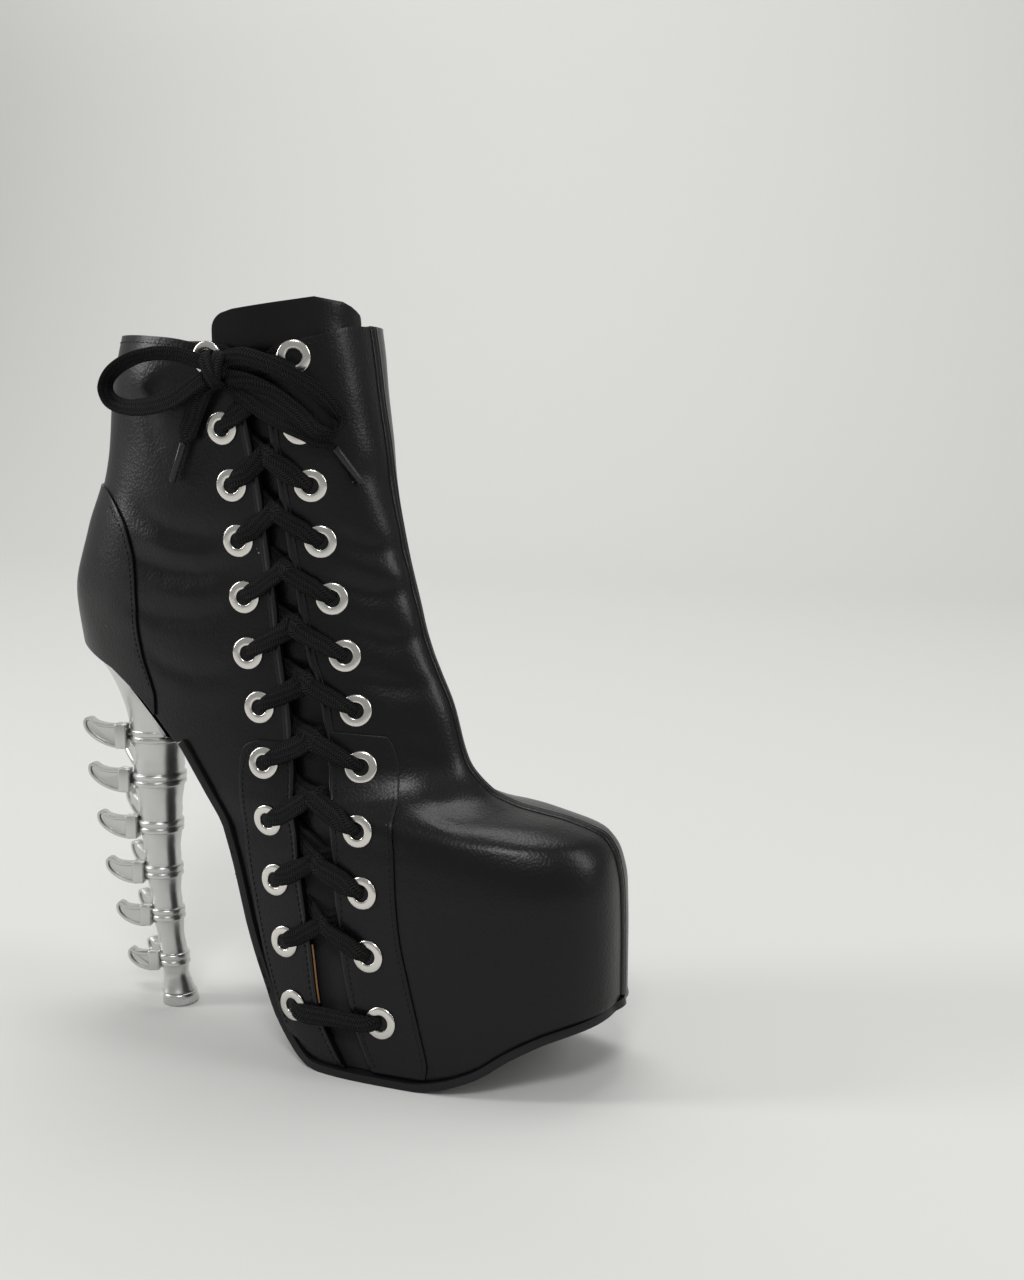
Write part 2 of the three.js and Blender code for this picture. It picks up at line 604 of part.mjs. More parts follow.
function circleRing(z, radius) {
  const x = columnX(z);
  return Array.from({ length: COLUMN_SIDES }, (_, i) => {
    const angle = (2 * Math.PI * i) / COLUMN_SIDES;
    return new THREE.Vector3(x + radius * Math.cos(angle), radius * Math.sin(angle), z);
  });
}

function columnSolid() {
  const bottom = HEEL_TIP_HEIGHT + CLEARANCE;
  const rings = [circleRing(bottom, HEEL_TIP_WIDTH / 2 - 0.6), circleRing(bottom + 4, columnRadius(bottom))];
  descending(HEEL_RINGS).forEach((row) => {
    const z = row.z * SEAT_HEIGHT;
    const half = RING_HEIGHT / 2;
    const waist = columnRadius(z - 3 * half) - RING_STEP;
    rings.push(circleRing(z - 2 * RING_HEIGHT + half, waist));
    rings.push(circleRing(z - half, columnRadius(z)));
    rings.push(circleRing(z - half + 0.3, columnRadius(z) + RING_STEP));
    rings.push(circleRing(z + half - 0.3, columnRadius(z) + RING_STEP));
    rings.push(circleRing(z + half, columnRadius(z)));
  });
  return solid(loftGeometry(rings));
}

// The cup's rim follows the seat, and its rings run into the top of the column.
function cupSolid() {
  const stations = 9;
  const columnTop = HEEL_RINGS[0].z * SEAT_HEIGHT;
  const radius = columnRadius(columnTop);
  const backEnd = levelAt(SEAT_HEIGHT * 0.99).back + 0.6;
  const along = (i) => breast - CLEARANCE - (1 - Math.cos((Math.PI * i) / (2 * stations))) * (breast - CLEARANCE - backEnd);
  const rim = [];
  for (let i = 0; i <= stations; i += 1) rim.push([along(i), -1]);
  for (let i = stations - 1; i >= 0; i -= 1) rim.push([along(i), 1]);
  const rimPoints = rim.map(([x, side]) => {
    const z = soleAt(x);
    const y = x <= backEnd + 0.01 ? 0 : sideY(x, z, side);
    return new THREE.Vector3(x, y * 0.985, z);
  });
  const rings = [0, 0.12, 0.3, 0.5, 0.72, 1].map((t) => rimPoints.map((point) => {
    const centre = new THREE.Vector3(columnX(columnTop), 0, columnTop);
    const angle = Math.atan2(point.y, point.x - centre.x);
    const round = new THREE.Vector3(centre.x + radius * Math.cos(angle), radius * Math.sin(angle), columnTop);
    const narrow = 1 - (1 - t) ** 1.7;
    const sink = t ** 1.15;
    return new THREE.Vector3(
      THREE.MathUtils.lerp(point.x, round.x, narrow),
      THREE.MathUtils.lerp(point.y, round.y, narrow),
      THREE.MathUtils.lerp(point.z, round.z - 0.5, sink),
    );
  }));
  return solid(loftGeometry(rings.reverse().map((ring) => [...ring].reverse())));
}

function spurSolid(row, spur, side) {
  const z = row.z * SEAT_HEIGHT;
  const radius = columnRadius(z);
  const reach = SPUR_LENGTH * spur.reach;
  const depth = SPUR_DEPTH * spur.depth;
  const rise = SPUR_LENGTH * (side > 0 ? spur.innerRise : spur.outerRise);
  const top = depth * 0.42;
  const shape = new THREE.Shape();
  shape.moveTo(-radius * 0.4, -depth * 0.5);
  shape.lineTo(reach * 0.42, -depth * 0.58 + rise * 0.3);
  shape.lineTo(reach * 0.8, -depth * 0.36 + rise * 0.75);
  shape.lineTo(reach, -depth * 0.02 + rise);
  shape.lineTo(reach * 0.98, top * 0.75 + rise);
  shape.lineTo(reach * 0.9, top + rise * 0.98);
  shape.lineTo(reach * 0.5, top * 0.86 + rise * 0.42);
  shape.lineTo(-radius * 0.4, top);
  const blade = new THREE.ExtrudeGeometry(shape, { depth: SPUR_THICK, bevelEnabled: false });
  blade.translate(0, 0, -SPUR_THICK / 2);
  blade.rotateX(Math.PI / 2);
  blade.rotateZ(Math.PI - side * SPUR_SPLAY);
  blade.translate(columnX(z) - radius * 0.45, side * radius * 0.62, z);
  return solid(blade);
}

function heelSolid() {
  let heel = columnSolid().add(cupSolid());
  HEEL_RINGS.forEach((row, i) => {
    [-1, 1].forEach((side) => { heel = heel.add(spurSolid(row, SPURS[i], side)); });
  });
  return heel.subtract(aboveSole(0, soleStart, 0));
}

function heelTipGeometry() {
  const radius = HEEL_TIP_WIDTH / 2;
  const tip = new THREE.CylinderGeometry(radius - 0.4, radius, HEEL_TIP_HEIGHT, 20);
  tip.rotateX(Math.PI / 2);
  tip.translate(-HEEL_AT, 0, HEEL_TIP_HEIGHT / 2);
  return tip;
}

// The lace lies over the rims of its eyelets, and each crossing joins the two strands that rise from one row.
function eyeletTop(eyelet) {
  return CLEARANCE + wallRise(eyelet, EYELET_WIDTH / 2) + inPanel(eyelet.point.z) + EYELET_RIM;
}

function strand(from, to, lift, steps = 3) {
  const path = Array.from({ length: steps + 1 }, (_, i) => {
    const x = from[0] + ((to[0] - from[0]) * i) / steps;
    const z = from[1] + ((to[1] - from[1]) * i) / steps;
    return skin(x, z, -1, lift);
  });
  return solid(ribbon(path, LACE_WIDTH, LACE_THICK));
}

function rowLift(i) {
  const [back, front] = eyelets.slice(2 * i, 2 * i + 2);
  return Math.max(eyeletTop(back), eyeletTop(front)) + LACE_EASE + LACE_THICK / 2;
}

function crossingSolid(i) {
  const row = eyeletRows[i];
  const z = row.z * COLLAR_HEIGHT;
  const rise = 1.6 * LACE_WIDTH;
  return [-1, 1].map((sign) => strand(
    [(row.middle + sign * row.spread) * LENGTH, z + 1],
    [row.middle * LENGTH - sign * (row.gap * LENGTH - 1), z + rise],
    rowLift(i),
  )).reduce((a, b) => a.add(b));
}

function barSolid(i) {
  const row = eyeletRows[i];
  const z = row.z * COLLAR_HEIGHT;
  const reach = row.spread * LENGTH;
  return strand([row.middle * LENGTH - reach, z], [row.middle * LENGTH + reach, z], rowLift(i), 5);
}

// The bow: routes over the wall as [along the foot, height, lift], chosen by hand.
const KNOT_AT = [-70, 268, 7.2];
const LOOP_BACK = [
  [-75.2, 270, 7], [-84, 273, 7.4], [-94, 274, 8], [-104, 271.5, 9], [-112, 267, 10], [-116.5, 261.5, 10.6],
  [-114, 256.5, 10.4], [-107, 254, 9.8], [-98, 254, 8.8], [-88, 256.5, 8], [-80, 260.5, 7.2], [-75.4, 263.5, 7],
];
const LOOP_FRONT = [
  [-64.8, 271, 7.4], [-57, 272, 7.2], [-48, 268.5, 7.2], [-40, 262, 7.2], [-33.5, 254.5, 7.4], [-30, 248, 7.6],
  [-31.5, 242.5, 7.6], [-36.5, 243.5, 7.4], [-43, 250.5, 7.2], [-51, 257.5, 7.2], [-58.5, 261.5, 7.2], [-64.8, 263, 7.2],
];
const END_BACK = [[-76, 259.3, 4.9], [-80, 254, 4.4], [-84, 247, 3.2], [-88, 240.5, 2.9]];
const END_FRONT = [[-64.4, 258.8, 5.6], [-55, 252.5, 5.5], [-46, 247, 5.5], [-38, 243, 4.6], [-32, 238.5, 3.2]];
const AGLET_BACK = [[-88.1, 239.8], [-94.5, 225.3]];
const AGLET_FRONT = [[-31.7, 237.8], [-24.6, 224.6]];

const bowPath = (route) => route.map(([x, z, lift]) => skin(x, z, -1, lift));

function knotGeometry() {
  const frame = skin(KNOT_AT[0], KNOT_AT[1], -1, KNOT_AT[2]);
  const half = [KNOT_WIDTH / 2, KNOT_DEPTH / 2, KNOT_HEIGHT / 2];
  const levels = [-1, -0.6, 0.6, 1];
  const up = new THREE.Vector3(0, 0, 1).addScaledVector(frame.normal, -frame.normal.z).normalize();
  const across = up.clone().cross(frame.normal);
  const rings = levels.map((level) => {
    const size = Math.abs(level) === 1 ? 0.72 : 1;
    return Array.from({ length: 10 }, (_, i) => {
      const angle = (2 * Math.PI * i) / 10;
      return frame.point.clone()
        .addScaledVector(up, level * half[2])
        .addScaledVector(across, size * half[0] * Math.cos(angle))
        .addScaledVector(frame.normal, -size * half[1] * Math.sin(angle));
    });
  });
  return loftGeometry(rings);
}

function agletGeometry(ends) {
  const lift = AGLET_WIDTH / 2 + 2 * CLEARANCE;
  const [start, end] = ends.map(([x, z]) => skin(x, z, -1, lift).point);
  const line = new THREE.LineCurve3(start, end);
  const round = new THREE.Shape().absarc(0, 0, AGLET_WIDTH / 2, 0, 2 * Math.PI);
  return new THREE.ExtrudeGeometry(round, { extrudePath: line, steps: 1, curveSegments: 5, bevelEnabled: false });
}

// The zip: a tape inside the wall with its coil in the slot, a slider at the top and a hinged pull.
function zipTapeSolid() {
  const behind = -WALL - CLEARANCE;
  const top = COLLAR_HEIGHT - 4;
  const band = (half, outLift, inLift, bottom) => lastSolid(outLift).subtract(lastSolid(inLift))
    .intersect(prism(zipStrip(half, top, bottom), 4, farOut));
  const tape = band(ZIP_TAPE_WIDTH / 2, behind, behind - ZIP_TAPE, zipBottom - 2);
  const coil = band(ZIP_OPENING / 2 - CLEARANCE, -0.7, behind - ZIP_TAPE / 2, zipBottom + CLEARANCE);
  return tape.add(coil).subtract(underBed());
}

const sliderZ = COLLAR_HEIGHT - SLIDER_BELOW_COLLAR;
const sliderFrame = (() => {
  const frame = skin(zipAt(sliderZ), sliderZ, 1);
  const over = skin(zipAt(sliderZ + 1), sliderZ + 1, 1).point;
  const up = over.sub(skin(zipAt(sliderZ - 1), sliderZ - 1, 1).point);
  up.addScaledVector(frame.normal, -up.dot(frame.normal)).normalize();
  return { ...frame, up, across: frame.normal.clone().cross(up) };
})();

// A block in the slider's frame: ranges across the zip, along it and out from the wall.
function sliderBlock(across, along, out) {
  const size = [along, across, out].map(([low, high]) => high - low);
  const middle = [along, across, out].map(([low, high]) => (low + high) / 2);
  const geometry = new THREE.BoxGeometry(...size);
  geometry.translate(...middle);
  const axes = new THREE.Matrix4().makeBasis(sliderFrame.up, sliderFrame.across, sliderFrame.normal);
  geometry.applyMatrix4(axes.setPosition(sliderFrame.point));
  return solid(geometry);
}

const sliderTop = CLEARANCE + SLIDER_THICK;
const pivotHeight = sliderTop + BAIL_WIRE;
const bridgeUnder = pivotHeight + BAIL_WIRE;

function zipSliderSolid() {
  const half = BRIDGE_WIDTH / 2;
  const reach = BRIDGE_LENGTH / 2;
  const post = BRIDGE_THICK * 1.4;
  const body = sliderBlock([-SLIDER_WIDTH / 2, SLIDER_WIDTH / 2], [-SLIDER_LENGTH / 2, SLIDER_LENGTH / 2],
    [CLEARANCE, sliderTop]);
  const keel = sliderBlock([1 - ZIP_OPENING / 2, ZIP_OPENING / 2 - 1], [1 - SLIDER_LENGTH / 2, SLIDER_LENGTH / 2 - 1],
    [-0.3, CLEARANCE + 1]);
  const top = sliderBlock([-half, half], [-reach, reach], [bridgeUnder, bridgeUnder + BRIDGE_THICK]);
  const posts = [-1, 1].map((sign) => sliderBlock([-half, half],
    sign < 0 ? [-reach, post - reach] : [reach - post, reach], [sliderTop - 0.2, bridgeUnder + 0.2]));
  return body.add(keel).add(top).add(posts[0]).add(posts[1]);
}

function zipPullSolid() {
  const wire = BAIL_WIRE / 2;
  const armIn = BRIDGE_WIDTH / 2 + 2 * CLEARANCE;
  const armOut = armIn + BAIL_WIRE * 0.8;
  const height = [pivotHeight - wire, pivotHeight + wire];
  const bar = sliderBlock([-armOut, armOut], [-wire, wire], height);
  const arms = [-1, 1].map((sign) => sliderBlock(sign < 0 ? [-armOut, -armIn] : [armIn, armOut],
    [-BAIL_LENGTH, wire], height));
  const foot = sliderBlock([-armOut, armOut], [-BAIL_LENGTH, BAIL_WIRE - BAIL_LENGTH], height);
  const tab = sliderBlock([-PULL_WIDTH / 2, PULL_WIDTH / 2], [-PULL_LENGTH, BAIL_WIRE / 2 - BAIL_LENGTH], height);
  return bar.add(arms[0]).add(arms[1]).add(foot).add(tab);
}

place('upper', geometryOf(upperSolid()), leather);
place('outsole', geometryOf(outsoleSolid()), rubber);
place('platform', geometryOf(platformSolid()), panelLeather);
place('insole', geometryOf(insoleSolid()), lining);
place('tongue', geometryOf(tongueSolid()), leather);
place('heel', geometryOf(heelSolid()), silver);
place('heel_tip', heelTipGeometry(), rubber);
eyelets.forEach((eyelet) => place(eyelet.name, eyeletGeometry(eyelet), nickel));
eyeletRows.forEach((row, i) => {
  if (i === 0) return;
  const made = i === eyeletRows.length - 1 ? barSolid(i) : crossingSolid(i);
  place(`lace_row_${String(i + 1).padStart(2, '0')}`, geometryOf(made), cotton);
});
place('lace_knot', knotGeometry(), cotton);
place('lace_loop_back', ribbon(bowPath(LOOP_BACK), LACE_WIDTH * 0.8, LACE_THICK), cotton);
place('lace_loop_front', ribbon(bowPath(LOOP_FRONT), LACE_WIDTH * 0.8, LACE_THICK), cotton);
place('lace_end_back', ribbon(bowPath(END_BACK), LACE_WIDTH * 0.8, LACE_THICK), cotton);
place('lace_end_front', ribbon(bowPath(END_FRONT), LACE_WIDTH * 0.8, LACE_THICK), cotton);
place('aglet_back', agletGeometry(AGLET_BACK), nickel);
place('aglet_front', agletGeometry(AGLET_FRONT), nickel);
place('zip_tape', geometryOf(zipTapeSolid()), cotton);
place('zip_slider', geometryOf(zipSliderSolid()), nickel);
place('zip_pull', geometryOf(zipPullSolid()), nickel);

export default boot;
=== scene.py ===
import math
import random

import bmesh
import bpy
import numpy as np
from mathutils import Matrix, Vector, noise


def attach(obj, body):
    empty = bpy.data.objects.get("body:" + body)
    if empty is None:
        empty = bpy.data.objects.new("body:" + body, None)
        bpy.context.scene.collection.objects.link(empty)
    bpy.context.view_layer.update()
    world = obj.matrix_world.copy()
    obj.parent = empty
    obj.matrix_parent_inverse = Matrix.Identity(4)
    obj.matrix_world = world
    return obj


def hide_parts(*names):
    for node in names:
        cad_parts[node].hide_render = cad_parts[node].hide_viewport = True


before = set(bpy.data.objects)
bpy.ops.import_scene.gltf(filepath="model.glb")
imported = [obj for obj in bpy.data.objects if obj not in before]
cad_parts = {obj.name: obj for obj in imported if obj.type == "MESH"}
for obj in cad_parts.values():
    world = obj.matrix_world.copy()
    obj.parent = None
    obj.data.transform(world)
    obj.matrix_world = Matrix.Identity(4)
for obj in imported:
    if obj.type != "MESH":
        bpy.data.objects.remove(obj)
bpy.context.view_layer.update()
random.seed(41)
MM = 0.001

# Sizes of the boot, as in the part's source
LENGTH = 236 * MM
COLLAR = 284 * MM
SEAT = 157 * MM
BALL = 78 * MM
TOE_SWING = 5 * MM
GAP = 0.3 * MM
WALL = 2 * MM
OVERLAY = 0.9 * MM
OUTSOLE = 3 * MM
SOLE_LIP = 1.9 * MM
INSOLE = 2.5 * MM
TONGUE = 2.2 * MM
TONGUE_RISE = 11 * MM
HEEL_AT = -124 * MM
HEEL_TIP_WIDTH = 15 * MM
HEEL_TIP_HEIGHT = 5 * MM
HEEL_TOP_WIDTH = 23.4 * MM
BREAST = -99 * MM
SPUR_LENGTH = 24 * MM
SPUR_DEPTH = 11 * MM
SPUR_THICK = 4.2 * MM
LACE = 7.4 * MM
ZIP_OPENING = 7 * MM
PANEL_TOP = 125.6 * MM
FACING_TOP = 276.2 * MM
LACING_TOP = 271.2 * MM

# Level sections: height, back, front, outer and inner half width, widest place, heel and toe roundness
LAST = np.array([
    (-0.042, -0.280, 0.280, 0.487, 0.449, 0.42, 2.4, 2.6),
    (0.000, -0.280, 0.294, 0.500, 0.462, 0.42, 2.5, 2.8),
    (0.085, -0.356, 0.314, 0.487, 0.474, 0.48, 2.5, 2.9),
    (0.176, -0.441, 0.314, 0.474, 0.474, 0.55, 2.4, 3.0),
    (0.254, -0.508, 0.312, 0.462, 0.474, 0.60, 2.3, 3.0),
    (0.296, -0.542, 0.304, 0.449, 0.462, 0.62, 2.3, 2.8),
    (0.324, -0.564, 0.286, 0.436, 0.449, 0.62, 2.2, 2.5),
    (0.345, -0.585, 0.225, 0.430, 0.436, 0.60, 2.2, 2.2),
    (0.359, -0.597, 0.140, 0.423, 0.436, 0.57, 2.1, 2.1),
    (0.377, -0.614, 0.092, 0.410, 0.423, 0.54, 2.1, 1.9),
    (0.415, -0.644, 0.051, 0.397, 0.410, 0.51, 2.0, 1.8),
    (0.493, -0.674, 0.023, 0.385, 0.410, 0.50, 1.9, 1.8),
    (0.563, -0.689, -0.014, 0.385, 0.397, 0.48, 2.0, 1.9),
    (0.634, -0.695, -0.039, 0.385, 0.397, 0.46, 2.1, 2.0),
    (0.722, -0.662, -0.065, 0.397, 0.410, 0.46, 2.1, 2.1),
    (0.792, -0.624, -0.080, 0.410, 0.423, 0.47, 2.1, 2.2),
    (0.845, -0.608, -0.088, 0.423, 0.436, 0.47, 2.1, 2.3),
    (0.923, -0.596, -0.102, 0.449, 0.462, 0.48, 2.1, 2.4),
    (0.972, -0.576, -0.110, 0.462, 0.474, 0.48, 2.1, 2.5),
    (1.007, -0.565, -0.114, 0.462, 0.474, 0.48, 2.1, 2.5),
    (1.070, -0.565, -0.114, 0.462, 0.474, 0.48, 2.1, 2.5),
])
SOLE_LINE = np.array([
    (-0.720, 1.020), (-0.679, 1.003), (-0.612, 0.966), (-0.555, 0.936), (-0.517, 0.911), (-0.455, 0.828),
    (-0.420, 0.777), (-0.386, 0.708), (-0.354, 0.635), (-0.329, 0.560), (-0.312, 0.487), (-0.299, 0.411),
    (-0.286, 0.334), (-0.270, 0.260), (-0.251, 0.184), (-0.235, 0.113), (-0.214, 0.060), (-0.190, 0.024),
    (-0.165, 0.005), (-0.140, 0.0), (0.025, 0.0), (0.068, 0.010), (0.131, 0.045), (0.191, 0.104),
    (0.246, 0.144),
    (0.314, 0.171), (0.350, 0.182),
])
BED_LINE = np.array([
    (-0.720, 1.043), (-0.612, 0.985), (-0.517, 0.920), (-0.420, 0.800), (-0.340, 0.722), (-0.254, 0.650),
    (-0.127, 0.522), (0.000, 0.415), (0.085, 0.376), (0.170, 0.372), (0.250, 0.392), (0.350, 0.425),
])
# Lacing rows: height, middle, half gap and half spread of the eyelets
LACING = np.array([
    (0.955, -0.254, 0.0225, 0.070), (0.864, -0.245, 0.0170, 0.063), (0.789, -0.234, 0.0150, 0.064),
    (0.715, -0.226, 0.0160, 0.067), (0.639, -0.215, 0.0180, 0.072), (0.563, -0.202, 0.0215, 0.080),
    (0.490, -0.182, 0.0270, 0.080), (0.415, -0.170, 0.0295, 0.081), (0.338, -0.157, 0.0330, 0.084),
    (0.257, -0.144, 0.0315, 0.082), (0.173, -0.129, 0.0285, 0.079), (0.085, -0.110, 0.0315, 0.083),
    (0.000, -0.060, 0.0260, 0.083),
])
ZIP_LINE = np.array([
    (1.040, -0.394), (0.901, -0.396), (0.796, -0.415), (0.687, -0.430), (0.574, -0.434), (0.500, -0.424),
    (0.440, -0.408), (0.380, -0.400),
])
# Heel rings: height, width and place behind the tip
HEEL_RINGS = np.array([
    (0.753, 1.00, 0.026), (0.631, 0.92, 0.029), (0.500, 0.77, 0.029), (0.373, 0.66, 0.027),
    (0.252, 0.57, 0.021),
    (0.125, 0.52, 0.011), (0.0, 0.50, 0.0),
])
# Spurs: reach, depth and the rise of the tip on the outer and inner side
SPURS = [(0.98, 1.00, 0.10, 0.62), (0.93, 0.96, 0.08, 0.42), (0.86, 0.93, 0.07, 0.28),
         (0.80, 0.90, 0.05, 0.15),
         (0.72, 0.86, 0.03, 0.06), (0.64, 0.80, 0.02, 0.02)]
SPUR_SPLAY = math.radians(14)


def unit(value):
    return np.clip(value, 0, 1)


def smooth(value):
    """A smooth step from 0 to 1."""
    value = unit(value)
    return value * value * (3 - 2 * value)


def eased(xs, ys, at):
    """A smooth value between the rows of a table, without overshoot."""
    xs, ys, at = np.asarray(xs, float), np.asarray(ys, float), np.asarray(at, float)
    rises = np.diff(ys) / np.diff(xs)
    slopes = np.zeros(len(xs))
    slopes[0], slopes[-1] = rises[0], rises[-1]
    low, high = rises[:-1], rises[1:]
    same = low * high > 0
    slopes[1:-1][same] = (2 * low * high)[same] / (low + high)[same]
    i = np.clip(np.searchsorted(xs, at, side="left") - 1, 0, len(xs) - 2)
    span = xs[i + 1] - xs[i]
    t = (at - xs[i]) / span
    return ((2 * t**3 - 3 * t**2 + 1) * ys[i] + (t**3 - 2 * t**2 + t) * slopes[i] * span
            + (3 * t**2 - 2 * t**3) * ys[i + 1] + (t**3 - t**2) * slopes[i + 1] * span)


def rising(table):
    return table[np.argsort(table[:, 0])]


LACING_UP, ZIP_UP, RINGS_UP = rising(LACING), rising(ZIP_LINE), rising(HEEL_RINGS)


def sole_at(x):
    return eased(SOLE_LINE[:, 0], SOLE_LINE[:, 1], np.asarray(x) / LENGTH) * SEAT


def bed_at(x):
    return eased(BED_LINE[:, 0], BED_LINE[:, 1], np.asarray(x) / LENGTH) * SEAT


def zip_at(z):
    return eased(ZIP_UP[:, 0], ZIP_UP[:, 1], np.asarray(z) / COLLAR) * LENGTH


def lacing_at(z):
    share = np.maximum(np.asarray(z) / COLLAR, 0)
    return [eased(LACING_UP[:, 0], LACING_UP[:, k], share) * LENGTH for k in (1, 2, 3)]


LEVEL_HEIGHTS = np.linspace(LAST[0, 0], LAST[-1, 0], 1600)
LEVELS = [eased(LAST[:, 0], LAST[:, k], LEVEL_HEIGHTS) for k in range(1, 8)]


def level(z):
    share = np.asarray(z) / COLLAR
    back, front, outer, inner, widest, heel, toe = [np.interp(share, LEVEL_HEIGHTS,
            column) for column in LEVELS]
    back, front = back * LENGTH, front * LENGTH
    return back, front, back + (front - back) * widest, outer * BALL, inner * BALL, heel, toe


def swing(x):
    return TOE_SWING * unit(np.asarray(x) / (0.314 * LENGTH)) ** 2


def last_point(turn, z):
    """A point of the last at a turn round its section, 0 at the toe and a quarter turn at the inner side."""
    turn, z = np.broadcast_arrays(np.asarray(turn, float), np.asarray(z, float))
    back, front, middle, outer, inner, heel, toe = level(z)
    c, s = np.cos(turn), np.sin(turn)
    power = np.where(c >= 0, toe, heel)
    size = (np.abs(c) ** power + np.abs(s) ** power) ** (1 / power)
    x = middle + np.where(c >= 0, front - middle, middle - back) * c / size
    y = np.where(s >= 0, inner, outer) * s / size
    return np.stack([x, y + swing(x), z], -1)


def turn_at(x, z, side):
    back, front, middle, _, _, heel, toe = level(z)
    ahead = np.asarray(x) >= middle
    share = np.clip((x - middle) / np.where(ahead, front - middle, middle - back), -1, 1)
    power = np.where(ahead, toe, heel)
    return np.arctan2(side * np.maximum(1 - np.abs(share) ** power, 0) ** (1 / power), share)


# Soft creases of the leather: side, line in x and z, depth and width, all in millimetres
CREASES = [
    (-1, [(-118, 214), (-100, 206), (-82, 204), (-70, 206)], -1.1, 5.0),
    (-1, [(-121, 196), (-104, 191), (-88, 190), (-74, 193)], -1.3, 4.5),
    (-1, [(-124, 176), (-106, 172), (-90, 172), (-76, 176)], -1.0, 4.2),
    (-1, [(-116, 158), (-104, 152), (-92, 150), (-76, 152)], -0.9, 4.0),
    (-1, [(-113, 205), (-98, 198), (-84, 197)], 0.7, 4.5),
    (-1, [(-110, 184), (-96, 181), (-84, 182)], 0.6, 4.2),
    (-1, [(-26, 232), (-18, 224), (-13, 212)], -0.8, 4.0),
    (-1, [(-32, 206), (-22, 200), (-10, 198)], -1.0, 3.6),
    (-1, [(-33, 188), (-20, 183), (-8, 182)], -1.1, 3.6),
    (-1, [(-28, 170), (-14, 165), (-3, 165)], -1.0, 3.8),
    (-1, [(-26, 152), (-10, 148), (2, 147)], -0.9, 3.6),
    (-1, [(-30, 197), (-18, 191), (-8, 190)], 0.5, 3.4),
    (-1, [(-6, 128), (6, 118), (16, 106)], -0.8, 5.0),
    (-1, [(2, 112), (14, 104), (28, 98)], -0.6, 5.0),
    (-1, [(-118, 262), (-108, 250), (-102, 236)], -0.6, 5.0),
    (1, [(-120, 238), (-96, 230), (-60, 232), (-34, 238)], -1.1, 4.5),
    (1, [(-126, 214), (-98, 206), (-62, 207), (-30, 213)], -1.5, 4.5),
    (1, [(-130, 192), (-100, 184), (-64, 184), (-22, 190)], -1.6, 4.5),
    (1, [(-130, 172), (-100, 163), (-60, 162), (-12, 168)], -1.4, 4.2),
    (1, [(-118, 152), (-90, 144), (-50, 142), (-4, 146)], -1.1, 4.2),
    (1, [(-122, 203), (-98, 195), (-62, 195), (-30, 201)], 0.8, 4.0),
    (1, [(-122, 182), (-98, 173), (-62, 173), (-24, 179)], 0.8, 4.0),
    (1, [(-60, 128), (-36, 120), (-8, 122)], -0.9, 5.0),
    (1, [(-4, 118), (12, 106), (26, 98)], -0.8, 5.0),
]


def crease_lift(points, side_of):
    """How far creases and the leather's slackness move each point along its normal."""
    lift = np.zeros(len(points))
    xz = points[:, [0, 2]] / MM
    for side, line, depth, width in CREASES:
        line = np.array(line, float)
        near = np.full(len(points), 1e9)
        along = np.zeros(len(points))
        for k, (a, b) in enumerate(zip(line[:-1], line[1:])):
            d = b - a
            t = unit(((xz - a) @ d) / (d @ d))
            away = np.linalg.norm(xz - (a + t[:, None] * d), axis=1)
            closer = away < near
            along[closer] = ((k + t) / (len(line) - 1))[closer]
            near = np.minimum(near, away)
        taper = 0.25 + 0.75 * np.sin(np.pi * unit(along)) ** 0.7
        on_side = unit(0.5 + side * side_of / 0.25)
        lift += depth * MM * taper * on_side * np.exp(-(near / width) ** 2)
    for i, p in enumerate(points):
        slack = np.clip((p[2] - 0.12) / 0.05, 0.25, 1)
        lift[i] += 0.42 * MM * slack * noise.noise(Vector(p) * 46)
    return lift


def skin(turn, z, lift=0.0):
    """Points over the last's surface and their outward normals, with the leather's creases."""
    turn, z = np.broadcast_arrays(np.asarray(turn, float), np.asarray(z, float))
    turn, z = turn.ravel(), z.ravel()
    here = last_point(turn, z)
    round_step = last_point(turn + 0.004, z) - last_point(turn - 0.004, z)
    up_step = last_point(turn, z + 0.3 * MM) - last_point(turn, z - 0.3 * MM)
    normal = np.cross(round_step, up_step)
    normal /= np.maximum(np.linalg.norm(normal, axis=1), 1e-12)[:, None]
    return here + normal * (lift + crease_lift(here, np.sin(turn)))[:, None], normal


def on_side(x, z, side, lift=0.0):
    x, z = np.broadcast_arrays(np.asarray(x, float), np.asarray(z, float))
    return skin(turn_at(x, z, side), z, lift)


def resampled(curve, count):
    """A curve of turn and height with count steps of even length over the last."""
    curve = np.asarray(curve, float)
    place = last_point(curve[:, 0], curve[:, 1])
    far = np.concatenate([[0], np.cumsum(np.linalg.norm(np.diff(place, axis=0), axis=1))])
    at = np.linspace(0, far[-1], count + 1)
    return np.stack([np.interp(at, far, curve[:, 0]), np.interp(at, far, curve[:, 1])], -1)


def smooth_line(points, steps=12):
    """A Catmull-Rom line through points of any dimension."""
    p = np.asarray(points, float)
    p = np.vstack([2 * p[0] - p[1], p, 2 * p[-1] - p[-2]])
    out = []
    for i in range(1, len(p) - 2):
        for t in np.linspace(0, 1, steps, endpoint=False):
            out.append(0.5 * (2 * p[i] + (p[i + 1] - p[i - 1]) * t + (2 * p[i - 1] - 5 * p[i] + 4 * p[i + 1] - p[i + 2]) * t**2
                              + (3 * p[i] - p[i - 1] - 3 * p[i + 1] + p[i + 2]) * t**3))
    return np.array(out + [p[-2]])


def even(points, count):
    points = np.asarray(points, float)
    far = np.concatenate([[0], np.cumsum(np.linalg.norm(np.diff(points, axis=0), axis=1))])
    at = np.linspace(0, far[-1], count + 1)
    return np.stack([np.interp(at, far, points[:, k]) for k in range(points.shape[1])], -1)


# Materials

